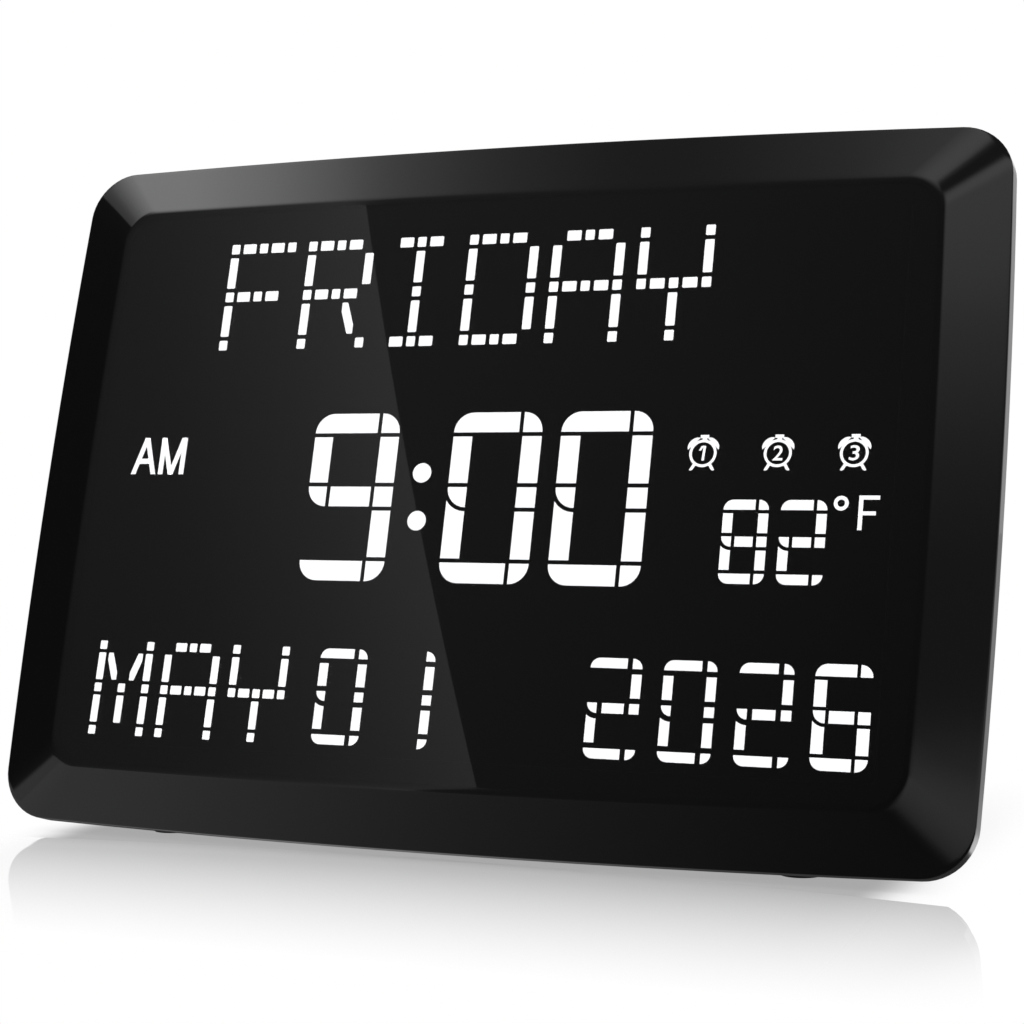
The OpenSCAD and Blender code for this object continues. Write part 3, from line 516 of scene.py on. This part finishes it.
def ring(sheet, x, y, outer, inner):
    """A flat ring: a disc whose face is inset and whose middle is taken out."""
    made = bmesh.ops.create_circle(sheet.bm, cap_ends=True, segments=AROUND, radius=outer,
                                   matrix=Matrix.Translation((x, y, 0.0)))["verts"]
    face = made[0].link_faces[0]
    bmesh.ops.inset_individual(sheet.bm, faces=[face], thickness=outer - inner,
                               use_even_offset=True)
    bmesh.ops.delete(sheet.bm, geom=[face], context="FACES")


def stroke(sheet, foot_x, head_x, y, w, h):
    """A slanting bar: foot_x and head_x are its left edge at the bottom and at the top."""
    sheet.bar((foot_x + head_x) / 2, y, w, h, (head_x - foot_x) / h)


def bell(sheet, x, y, side):
    """A bell cap: an oval over the shoulder of the ring at (x, y), cut off along a chord."""
    place = (Matrix.Translation((x, y, 0.0)) @ Matrix.Rotation(side * math.radians(-45), 4, "Z")
             @ Matrix.Translation((0.0, BELL_OUT, 0.0))
             @ Matrix.Diagonal((BELL_W, BELL_H, 1.0, 1.0)))
    made = bmesh.ops.create_circle(sheet.bm, cap_ends=True, segments=AROUND, radius=1.0,
                                   matrix=place)
    face = made["verts"][0].link_faces[0]
    bmesh.ops.bisect_plane(sheet.bm, geom=[face, *face.edges, *face.verts], dist=0.0001,
                           plane_co=(x + side * BELL_CHORD, y + BELL_CHORD, 0.0),
                           plane_no=(side, 1.0, 0.0), clear_inner=True)


def lettering(sheet, words, x, y, height, width, weight, slant=0.0):
    """Sans-serif lettering from its lower left corner, scaled to a height and a width. weight
    thickens its strokes."""
    curve = bpy.data.curves.new("lettering", "FONT")
    curve.body = words
    curve.offset = weight
    curve.shear = slant
    text = bpy.data.objects.new("lettering", curve)
    bpy.context.scene.collection.objects.link(text)
    bpy.context.view_layer.update()
    graph = bpy.context.evaluated_depsgraph_get()
    flat = bpy.data.meshes.new_from_object(text.evaluated_get(graph))
    bpy.data.objects.remove(text)
    low = Vector([min(v.co[axis] for v in flat.vertices) for axis in range(3)])
    high = Vector([max(v.co[axis] for v in flat.vertices) for axis in range(3)])
    stretch = Matrix.Diagonal((width / (high.x - low.x), height / (high.y - low.y), 1.0, 1.0))
    flat.transform(Matrix.Translation((x, y, 0.0)) @ stretch @ Matrix.Translation(-low))
    sheet.bm.from_mesh(flat)
    bmesh.ops.remove_doubles(sheet.bm, verts=sheet.bm.verts, dist=0.0005)
    bpy.data.meshes.remove(flat)


def alarm_sign(sheet, x, y):
    """A small alarm clock whose ring has its centre at (x, y)."""
    ring(sheet, x, y, RING_OUTER, RING_INNER)
    for side in (-1, 1):
        bell(sheet, x, y, side)
        sheet.bar(x + side * FOOT_OUT - FOOT_W / 2, y - FOOT_DOWN, FOOT_W, FOOT_H,
                  -FOOT_LEAN * side, ((0, 0), (1, 0)), 0.4, segments=4)
    sheet.bar(x - 0.4, y + 3.75, 1.3, 0.5)
    sheet.bar(x - 1.0, y + 4.25, 2.4, 0.9)


signs = Strokes()

# AM: two slanting strokes and a crossbar, then four strokes
LOW, TALL, BROAD = 2.3, 11.2, 1.6
AM_STROKES = ((-112.6, -109.15), (-105.75, -109.15), (-103.3, -103.3), (-99.85, -103.3),
              (-99.85, -96.45), (-96.2, -96.2))
for foot_x, head_x in AM_STROKES:
    stroke(signs, foot_x, head_x, LOW, BROAD, TALL)
signs.bar(-110.9, LOW + 3.2, 4.9, BROAD)

# the degree sign and the F
ring(signs, 104.6, -5.3, 2.0, 1.0)
for x, y, w, h in ((109.3, -12.5, 1.15, 9.3), (110.45, -4.3, 4.35, 1.1), (110.45, -8.5, 3.5, 1.05)):
    signs.bar(x, y, w, h)

# three alarm clocks with their figures
ALARM_Y, FIGURE_Y, FIGURE_H, FIGURE_W = 8.3, 6.3, 4.1, 2.8
for x in (65.6, 86.4, 107.1):
    alarm_sign(signs, x, ALARM_Y)
signs.bar(65.5, FIGURE_Y, 0.7, FIGURE_H, 0.08)
stroke(signs, 64.4, 65.1, 9.1, 0.65, 1.25)
for figure, x in (("2", 85.0), ("3", 105.7)):
    lettering(signs, figure, x, FIGURE_Y, FIGURE_H, FIGURE_W, 0.01, slant=0.06)
print("faces of the signs:", len(signs.bm.faces))

# %% [markdown]
# ## Light and film
# A lit stroke must look white through the smoked window, which lets a sixteenth through, so it
# gives out more than sixteen times as much. The film is satin black print. Both lie within the
# thickness of the film's own solid, just behind the window.

# %% Make the film and the strokes
glow, tree, shader, place = finish("lit_stroke", (0.9, 0.9, 0.9), 0.6)
shader.inputs["Emission Color"].default_value = WHITE
shader.inputs["Emission Strength"].default_value = 19.0
cloudy_roughness(tree, shader, place, 300.0, 0.5, 0.65)

dark_stroke, tree, shader, place = finish("unlit_stroke", (0.012, 0.012, 0.013), 0.6)
cloudy_roughness(tree, shader, place, 300.0, 0.5, 0.65)

film_print, tree, shader, place = finish("black_print", (0.003, 0.003, 0.0033), 0.5)
shader.inputs["Specular IOR Level"].default_value = 0.1
cloudy_roughness(tree, shader, place, 200.0, 0.42, 0.6)

FILM_W, FILM_H = 236.0, 156.4
film_sheet = Strokes()
film_sheet.bar(-FILM_W / 2, -FILM_H / 2, FILM_W, FILM_H, rounded=ALL, radius=1.5)
for sheet in (film_sheet, lit, signs, unlit):
    bmesh.ops.transform(sheet.bm, matrix=BEHIND_GLASS, verts=sheet.bm.verts)
FILM_FRONT, FILM_BACK = -2.30, -2.05
LIT_FRONT, UNLIT_FRONT, STROKE_BACK = -2.345, -2.335, -2.31
film = film_sheet.piece("film_sheet", FILM_FRONT, FILM_BACK, film_print, ON_FACE)
lit_piece = lit.piece("lit_strokes", LIT_FRONT, STROKE_BACK, glow, ON_FACE)
sign_piece = signs.piece("lit_signs", LIT_FRONT, STROKE_BACK, glow, ON_FACE)
unlit_piece = unlit.piece("unlit_strokes", UNLIT_FRONT, STROKE_BACK, dark_stroke, ON_FACE)
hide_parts("display_film")

# %% [markdown]
# ## Signs under the buttons
# Six equal buttons can't be told apart behind a clock, so the housing carries small pad-printed
# signs: a ring for set, an arrow up and down, an alarm clock, a sun for the brightness and a
# speaker for the sound. They are drawn nearly three times as large and then made small, and the
# drawing is turned round to face backwards. The print is hardly thicker than a hair.

# %% Print the signs of the buttons
LARGER = 2.8
BUTTON_PITCH, SIGN_HEIGHT = 22.0, 56.2
RAYS = 8
prints = Strokes()


def turn(sheet, verts, x, y, degrees):
    """Turns some points of a drawing about (x, y)."""
    bmesh.ops.rotate(sheet.bm, verts=verts, cent=(x, y, 0.0),
                     matrix=Matrix.Rotation(math.radians(degrees), 3, "Z"))


def arrow(sheet, x, y, degrees):
    """A triangle that points up, or down if it is turned by 180 degrees."""
    made = bmesh.ops.create_circle(sheet.bm, cap_ends=True, segments=3, radius=4.4,
                                   matrix=Matrix.Translation((x, y, 0.0)))["verts"]
    turn(sheet, made, x, y, degrees)


def sun(sheet, x, y):
    sheet.disc(x, y, 2.0)
    for ray in range(RAYS):
        made = sheet.bar(x - 0.4, y + 2.7, 0.8, 1.7)
        turn(sheet, made, x, y, 360.0 / RAYS * ray)


def speaker(sheet, x, y):
    """A box, a cone that flares to the right, and two bars of sound."""
    sheet.bar(x - 3.6, y - 1.3, 1.9, 2.6)
    for v in sheet.bar(x - 1.3, y - 1.3, 2.4, 2.6):
        if v.co.x > x:
            v.co.y += 2.0 if v.co.y > y else -2.0
    for out, tall in ((2.0, 2.6), (3.6, 4.6)):
        sheet.bar(x + out, y - tall / 2, 0.8, tall)


places = [-BUTTON_PITCH * LARGER * (step - 2.5) for step in range(6)]
y = SIGN_HEIGHT * LARGER
ring(prints, places[0], y, 3.6, 2.4)
arrow(prints, places[1], y - 0.8, 0.0)
arrow(prints, places[2], y + 0.8, 180.0)
alarm_sign(prints, places[3], y)
sun(prints, places[4], y)
speaker(prints, places[5], y)
bmesh.ops.scale(prints.bm, vec=(1 / LARGER, 1 / LARGER, 1.0), verts=prints.bm.verts)

pad_print, tree, shader, place = finish("grey_pad_print", (0.5, 0.5, 0.5), 0.5)
cloudy_roughness(tree, shader, place, 300.0, 0.4, 0.6)
BACKWARDS = Matrix.Rotation(math.pi, 4, "Z")
PRINT_FRONT, PRINT_BACK = -25.03, -24.99
button_signs = prints.piece("button_signs", PRINT_FRONT, PRINT_BACK, pad_print,
                            ON_FACE @ BACKWARDS)

# %% [markdown]
# ## Finishes of the solids that stay
# The other solids already have the right shape, so they only get better finishes. Spark-eroded
# ABS has a fine leathery grain that breaks up every highlight, the buttons are smoother, the
# feet are dull rubber, and the metal parts are plated or brushed.

# %% Plastics and rubber
def grained(name, colour, low, high, scale, strength, distance):
    material, tree, shader, place = finish(name, colour, (low + high) / 2)
    cloudy_roughness(tree, shader, place, 80.0, low, high)
    grain = use(tree, grain_group, Vector=place, Scale=scale)
    bump(tree, shader, grain.outputs["Height"], strength, distance)
    return material


housing_abs = grained("textured_black_abs", (0.014, 0.014, 0.0155),
                      0.46, 0.6, 1500.0, 0.55, 0.00012)
stand_abs = grained("textured_stand_abs", (0.016, 0.016, 0.0175), 0.46, 0.6, 1500.0, 0.55, 0.00012)
button_abs = grained("satin_button_abs", (0.022, 0.022, 0.024), 0.3, 0.4, 2500.0, 0.2, 0.00005)
frame_abs = grained("inner_black_abs", (0.02, 0.02, 0.021), 0.45, 0.6, 900.0, 0.3, 0.0001)
rubber = grained("black_rubber", (0.018, 0.018, 0.018), 0.75, 0.9, 1200.0, 0.6, 0.00015)
white_abs = grained("white_reflector_abs", (0.8, 0.8, 0.78), 0.35, 0.5, 900.0, 0.2, 0.0001)
diffuser = grained("white_diffuser", (0.82, 0.82, 0.8), 0.5, 0.7, 2000.0, 0.1, 0.00005)
tape = grained("adhesive_tape", (0.006, 0.006, 0.006), 0.6, 0.8, 500.0, 0.2, 0.0001)
chip = grained("chip_resin", (0.02, 0.02, 0.021), 0.4, 0.55, 3000.0, 0.3, 0.00004)
light_chip = grained("yellow_phosphor", (0.8, 0.62, 0.12), 0.3, 0.45, 3000.0, 0.2, 0.00004)
print("plastics done")

# %% Metals and boards
def brushed(name, colour, low, high, stretch, strength):
    material, tree, shader, place = finish(name, colour, (low + high) / 2, metallic=1.0)
    lines = use(tree, brush_group, Vector=place, Stretch=stretch)
    tree.links.new(map_range(tree, lines.outputs["Value"], 0.0, 1.0, low, high),
                   shader.inputs["Roughness"])
    bump(tree, shader, lines.outputs["Height"], strength, 0.00003)
    return material


zinc = brushed("zinc_plate", (0.62, 0.63, 0.65), 0.25, 0.42, (900.0, 900.0, 900.0), 0.25)
black_steel = brushed("blackened_steel", (0.07, 0.07, 0.075), 0.35, 0.5, (900.0, 900.0, 900.0), 0.3)
cell_steel = brushed("cell_steel", (0.66, 0.66, 0.67), 0.16, 0.32, (120.0, 5000.0, 5000.0), 0.3)
contact_metal = brushed("contact_plate", (0.7, 0.69, 0.64), 0.2, 0.35, (3000.0, 150.0, 3000.0), 0.2)

board, tree, shader, place = finish("green_circuit_board", (0.01, 0.06, 0.025), 0.35)
traces = add(tree, "ShaderNodeTexBrick", {"offset": 0.35}, Vector=place, Scale=180.0,
             Color1=(0.010, 0.060, 0.026, 1.0), Color2=(0.012, 0.072, 0.030, 1.0),
             Mortar=(0.022, 0.125, 0.050, 1.0))
traces.inputs["Mortar Size"].default_value = 0.06
tree.links.new(traces.outputs["Color"], shader.inputs["Base Color"])
cloudy_roughness(tree, shader, place, 200.0, 0.28, 0.42)
bump(tree, shader, traces.outputs["Fac"], 0.3, 0.00004)

sleeve = grained("blue_can_sleeve", (0.02, 0.03, 0.09), 0.25, 0.35, 2000.0, 0.1, 0.00003)

FINISH_OF = {
    "lens_tape": tape, "inner_frame": frame_abs, "diffuser_sheet": diffuser,
    "segment_reflector": white_abs, "led_board": board, "leds": light_chip, "driver_chips": chip,
    "led_board_screws": zinc, "board_header": chip, "control_board": board,
    "microcontroller": chip, "crystal": zinc, "capacitor": sleeve, "buzzer": frame_abs,
    "temperature_sensor": chip, "cell_holder": frame_abs, "cell_contacts": contact_metal,
    "coin_cell": cell_steel, "power_socket": frame_abs, "socket_pin": contact_metal,
    "tact_switches": zinc, "control_board_screws": zinc, "rear_cover": housing_abs,
    "cover_screws": black_steel, "hinge_pin": zinc, "rubber_feet": rubber,
    "battery_door": housing_abs, "stand_leg": stand_abs, "stand_foot": rubber,
}
FINISH_OF.update({name: button_abs for name in nodes if name.endswith(("_button", "_plunger"))})
for name, material in FINISH_OF.items():
    for material_slot in nodes[name].material_slots:
        material_slot.material = material
print("finished solids:", len(FINISH_OF))

# %% [markdown]
# ## Camera
# The photograph is taken from a little right of the middle and almost level with it, with a long
# lens. Its place and focal length were worked out from the outline of the front.

# %% Camera
LOOKS_DOWN, LOOKS_LEFT = 1.08, 22.74
camera_data = bpy.data.cameras.new("camera")
camera_data.lens = 80.4
camera_data.sensor_width = 36.0
camera = bpy.data.objects.new("camera", camera_data)
camera.location = (0.25593, -0.59958, 0.10620)
camera.rotation_euler = (math.radians(90.0 - LOOKS_DOWN), 0.0, math.radians(LOOKS_LEFT))
bpy.context.scene.collection.objects.link(camera)
bpy.context.scene.camera = camera

# %% [markdown]
# ## The studio round a glossy black thing
# Gloss black shows nothing of its own: it is a mirror that gives back a twenty-fifth of what
# stands in front of it. A photographer hangs black cloth there and adds a few white cards, and
# the edge of one of them is the straight line that crosses the window. Here the world does that:
# for reflections, its brightness depends on the direction alone. Matt surfaces get an even, plain
# light, and the camera sees white.

# %% Steps that work out a brightness
def mix(tree, factor, a, b):
    """a where the factor is 0 and b where it is 1."""
    return add(tree, "ShaderNodeMix", i0=factor, i2=a, i3=b).outputs[0]


def times(tree, *values):
    product = values[0]
    for value in values[1:]:
        product = math_step(tree, "MULTIPLY", product, value)
    return product


def plus(tree, *values):
    total = values[0]
    for value in values[1:]:
        total = math_step(tree, "ADD", total, value)
    return total


def is_over(tree, value, level):
    """1 where the value is over the level, else 0."""
    return math_step(tree, "GREATER_THAN", value, level)


def brightness_curve(tree, along, points, top):
    """A soft curve through pairs of place and brightness, none of them brighter than top."""
    low, high = points[0][0], points[-1][0]
    node = add(tree, "ShaderNodeFloatCurve", Value=map_range(tree, along, low, high))
    curve = node.mapping.curves[0]
    placed = [((place - low) / (high - low), bright / top) for place, bright in points]
    curve.points[0].location = placed[0]
    curve.points[1].location = placed[-1]
    for point in placed[1:-1]:
        curve.points.new(*point)
    for point in curve.points:
        point.handle_type = "AUTO_CLAMPED"
    node.mapping.update()
    return times(tree, node.outputs[0], top)


# %% [markdown]
# ## The cards
# Angles are in degrees: azimuth is 0 in front and grows to the right, and elevation is 0 level
# with the clock and 90 overhead. A brightness of 1 is the plain white round the clock. The cards
# overhead depend on how far a direction points to the right instead of on its azimuth, because
# that stays the same along the rounding at the top. Each card fades out softly, so its curve has
# points at its foot, along its slope and at its top.

# %% World
DEGREES = math.degrees(1.0)
world = bpy.data.worlds.new("studio")
bpy.context.scene.world = world
world.use_nodes = True
tree = world.node_tree
tree.nodes.clear()
direction = tree.nodes.new("ShaderNodeTexCoord").outputs["Generated"]
to_right, to_back, to_top = add(tree, "ShaderNodeSeparateXYZ", i0=direction).outputs
to_front = times(tree, to_back, -1.0)
azimuth = times(tree, math_step(tree, "ARCTAN2", to_right, to_front), DEGREES)
elevation = times(tree, math_step(tree, "ARCSINE", to_top), DEGREES)

# the cards overhead light the sloping border at the top: bright at the left, dim in the middle
overhead = brightness_curve(tree, to_right, (
    (-0.9, 0.1), (-0.75, 0.58), (-0.7, 1.23), (-0.65, 2.02), (-0.59, 2.75), (-0.53, 3.2),
    (-0.5, 2.8), (-0.46, 1.68), (-0.42, 0.73), (-0.36, 0.3), (-0.32, 0.22), (-0.26, 0.35),
    (-0.2, 0.62), (-0.12, 0.94), (0.0, 1.2), (0.03, 1.12), (0.06, 0.56), (0.1, 0.155),
    (0.3, 0.14)), top=3.2)

# the cards at the right light the border there
right_side = brightness_curve(tree, elevation, (
    (-6, 0.06), (0, 0.1), (5, 0.44), (19, 0.65), (21.5, 0.37), (24, 0.17), (27, 0.18),
    (33, 0.53), (36, 0.85), (39, 0.93), (45, 1.23), (48, 0.66), (51, 0.15), (60, 0.16)), top=3.2)

# the card whose straight edge crosses the window: the edge leans to the left, and stands upright
# near the floor, and the card is brightest beside it
EDGE_AZIMUTH, EDGE_ELEVATION, EDGE_LEAN, UPRIGHT_BELOW = -25.2, 20.5, 0.52, 20.0
above = math_step(tree, "MAXIMUM", elevation, UPRIGHT_BELOW)
past_edge = plus(tree, azimuth, -EDGE_AZIMUTH,
                 times(tree, plus(tree, above, -EDGE_ELEVATION), EDGE_LEAN))
card = times(tree, map_range(tree, elevation, 20.0, 31.0, 0.49, 0.61),
             brightness_curve(tree, past_edge, (
                 (-46, 0.09), (-34, 0.13), (-20, 0.31), (-9, 0.4), (-5, 0.575), (0, 1.0)), top=1.0))

# the calm dark to its right, a little lighter further up and further to the left
CALM, CALM_UP, CALM_LEFT, CALM_FROM, CALM_TO = 0.14, 0.0035, 0.0057, -25.0, -12.0
calm_azimuth = math_step(tree, "MINIMUM", azimuth, CALM_TO)
calm = plus(tree, CALM, times(tree, plus(tree, above, -UPRIGHT_BELOW), CALM_UP),
            times(tree, plus(tree, calm_azimuth, -CALM_FROM), -CALM_LEFT))
window_side = mix(tree, map_range(tree, past_edge, -0.02, 0.02), card, calm)
window_side = times(tree, window_side, map_range(tree, elevation, 0.0, 9.0, 1.35, 1.0))

# a pale wall stands at the left, and its top rises to the left
WALL_GREY, WALL_LOW, WALL_HIGH, WALL_AZIMUTH, WALL_SLOPE = 0.62, 3.0, 3.8, -54.0, 0.15
under_top = plus(tree, elevation, times(tree, plus(tree, azimuth, -WALL_AZIMUTH), WALL_SLOPE))
wall = times(tree, map_range(tree, under_top, WALL_LOW, WALL_HIGH, 1.0, 0.0),
             map_range(tree, azimuth, -45.0, -38.0, 1.0, 0.0))
window_side = mix(tree, wall, window_side, WALL_GREY)

# near the floor the right side reaches further round to the left
reaching = plus(tree, azimuth, map_range(tree, elevation, 15.0, 25.0, 10.0, 0.0))
lower = mix(tree, map_range(tree, reaching, 4.0, 18.0, smooth=True), window_side, right_side)

# the cards overhead begin at 47 degrees, softly, and sharply at 35 degrees far to the left
lowered = plus(tree, elevation, map_range(tree, to_right, -0.32, -0.2, 0.0, -3.0))
starts_high = map_range(tree, lowered, 40.0, 55.0, smooth=True)
is_left = fade(tree, azimuth, -66.0, -60.0)
starts_high = mix(tree, is_left, starts_high, map_range(tree, elevation, 35.2, 35.8))
not_right = fade(tree, azimuth, 10.0, 14.0)
front = mix(tree, times(tree, starts_high, not_right), lower, overhead)

# the wall behind is grey as the right edge of the clock sees it, white in the polish of the floor
BACK_WHITE, BACK_GREY, BACK_HIGH = 1.0, 0.68, 0.2
behind = mix(tree, is_over(tree, azimuth, 0.0), BACK_WHITE, BACK_GREY)
behind = mix(tree, map_range(tree, elevation, 30.0, 55.0, smooth=True), behind, BACK_HIGH)
mirrored = mix(tree, map_range(tree, to_back, -0.05, 0.25, smooth=True), front, behind)

# what is mirrored inside the window leaves it as a transmitted ray that was glossy before
light_path = tree.nodes.new("ShaderNodeLightPath").outputs
inside = times(tree, light_path["Is Transmission Ray"],
               is_over(tree, light_path["Glossy Depth"], 0.5))
is_mirrored = math_step(tree, "MAXIMUM", light_path["Is Glossy Ray"], inside)
strength = mix(tree, is_mirrored, 1.0, mirrored)
background = add(tree, "ShaderNodeBackground", Color=WHITE, Strength=strength)
output = tree.nodes.new("ShaderNodeOutputWorld")
tree.links.new(background.outputs[0], output.inputs["Surface"])
print("world nodes:", len(tree.nodes))

# %% [markdown]
# ## The floor
# The clock stands on glossy white acrylic sheet. It mirrors the foot of the clock, and the image
# fades towards the camera. The floor keeps the soft shadow of the clock, a strip along its foot is
# painted shadow, and away from it the floor is plain white. What the polish of the clock sees of
# the floor is painted shade and light.

# %% Floor
CONTACT = -0.0318                 # the line where the foot of the clock meets its image
IMAGE_REACH = 0.128               # how far the image reaches from there
IMAGE_SHARE, FALL_OFF = 0.5, 1.3  # its strength there, and how it falls towards the camera
# the width of the strip of painted shadow along the foot, and how it widens to the sides
PAINTED_SHADOW_WIDTH, PAINTED_SHADOW_BOW = 0.0038, 0.68   # width of the strip, and how it widens to the sides
MEET_X, MEET_Y, FOOT_Y = 0.256, 0.6, -0.035
floor_material = bpy.data.materials.new("white_floor")
floor_material.use_nodes = True
tree = floor_material.node_tree
tree.nodes.clear()
position = tree.nodes.new("ShaderNodeTexCoord").outputs["Object"]
across, back, _ = add(tree, "ShaderNodeSeparateXYZ", i0=position).outputs
side = math_step(tree, "ABSOLUTE", across)
to_contact = map_range(tree, back, CONTACT - IMAGE_REACH, CONTACT)

# a strip along the foot, a little wider at the ends as the foot bows up, is grey painted shadow
# and not polished
reach = plus(tree, back, times(tree, across, across, PAINTED_SHADOW_BOW))
past_painted_shadow_edge = is_over(tree, reach, CONTACT - PAINTED_SHADOW_WIDTH)
painted_shadow_strip = times(tree, past_painted_shadow_edge, fade(tree, back, -0.015, 0.06), fade(tree, side, 0.114, 0.13))

# the polish is kept to the image of the clock, whose sides run along lines that meet in the
# mirror image of the camera: fan is where such a line crosses the foot
fan = math_step(tree, "DIVIDE", times(tree, plus(tree, across, -MEET_X), MEET_Y - FOOT_Y),
                math_step(tree, "SUBTRACT", MEET_Y, back))
fan = plus(tree, fan, MEET_X)
polished = times(tree, math_step(tree, "SUBTRACT", 1.0, past_painted_shadow_edge),
                 fade(tree, math_step(tree, "ABSOLUTE", fan), 0.155, 0.19))
mirror_share = times(tree, math_step(tree, "POWER", to_contact, FALL_OFF), IMAGE_SHARE, polished)

# the part that gives out its own white hides the room's shading; near the clock it is a half,
# so the shadow stays, and in the strip of painted shadow it is a little over a third, over a
# dark paper
NEAR_WHITE, PAINTED_SHADOW_WHITE = 0.5, 0.385
# the paper is dark in the strip, as painted shadow
PAPER, PAINTED_SHADOW_PAPER = 0.95, 0.15
near = times(tree, to_contact, fade(tree, back, 0.05, 0.2), fade(tree, side, 0.11, 0.14))
own_white = mix(tree, painted_shadow_strip, mix(tree, near, 1.0, NEAR_WHITE), PAINTED_SHADOW_WHITE)
paper_with_painted_shadow = mix(tree, painted_shadow_strip, PAPER, PAINTED_SHADOW_PAPER)
paper = add(tree, "ShaderNodeCombineColor", Red=paper_with_painted_shadow, Green=paper_with_painted_shadow, Blue=paper_with_painted_shadow)
matt = add(tree, "ShaderNodeBsdfDiffuse", Color=paper.outputs[0])
white = add(tree, "ShaderNodeEmission", Color=WHITE, Strength=1.0)
path = tree.nodes.new("ShaderNodeLightPath").outputs
ground = add(tree, "ShaderNodeMixShader", i0=times(tree, own_white, path["Is Camera Ray"]),
             i1=matt.outputs[0], i2=white.outputs[0])
polish = add(tree, "ShaderNodeBsdfGlossy", Color=WHITE, Roughness=0.0)
seen_floor = add(tree, "ShaderNodeMixShader", i0=mirror_share, i1=ground.outputs[0],
                 i2=polish.outputs[0])

# what the acrylic mirrors of the floor is painted shade and light, given out to glossy rays only:
# in front it is painted shade, darker to the right, and behind the foot painted light and shade
front_painted_shade = brightness_curve(tree, fan, (
    (-0.25, 0.73), (-0.125, 0.69), (-0.066, 0.51), (0.036, 0.215), (0.13, 0.088), (0.25, 0.08)),
    top=1.0)
back_painted_light_and_shade = brightness_curve(tree, back, (
    (-0.03, 0.05), (-0.012, 0.1), (-0.005, 0.9), (0.0, 1.48), (0.01, 1.42), (0.05, 0.75),
    (0.09, 0.61), (0.18, 0.5), (0.3, 0.5)), top=1.5)
painted_shade_and_light = mix(tree, map_range(tree, back, -0.034, -0.028), front_painted_shade, back_painted_light_and_shade)
# glossy rays see this painted tone instead of the floor's own shading and polish
painted_floor_for_polish = add(tree, "ShaderNodeEmission", Color=WHITE, Strength=painted_shade_and_light)
surface = add(tree, "ShaderNodeMixShader", i0=path["Is Glossy Ray"], i1=seen_floor.outputs[0],
              i2=painted_floor_for_polish.outputs[0])
output = tree.nodes.new("ShaderNodeOutputMaterial")
tree.links.new(surface.outputs[0], output.inputs["Surface"])

FLOOR_HALF = 3.0
bm = bmesh.new()
bmesh.ops.create_grid(bm, x_segments=2, y_segments=2, size=FLOOR_HALF)
floor_mesh = bpy.data.meshes.new("floor")
bm.to_mesh(floor_mesh)
bm.free()
floor_mesh.materials.append(floor_material)
floor = bpy.data.objects.new("floor", floor_mesh)
bpy.context.scene.collection.objects.link(floor)

# %% [markdown]
# ## Last settings
# The view transform is Standard, so that a colour comes out about as it is written.

# %% Finish
bpy.context.scene.view_settings.view_transform = "Standard"
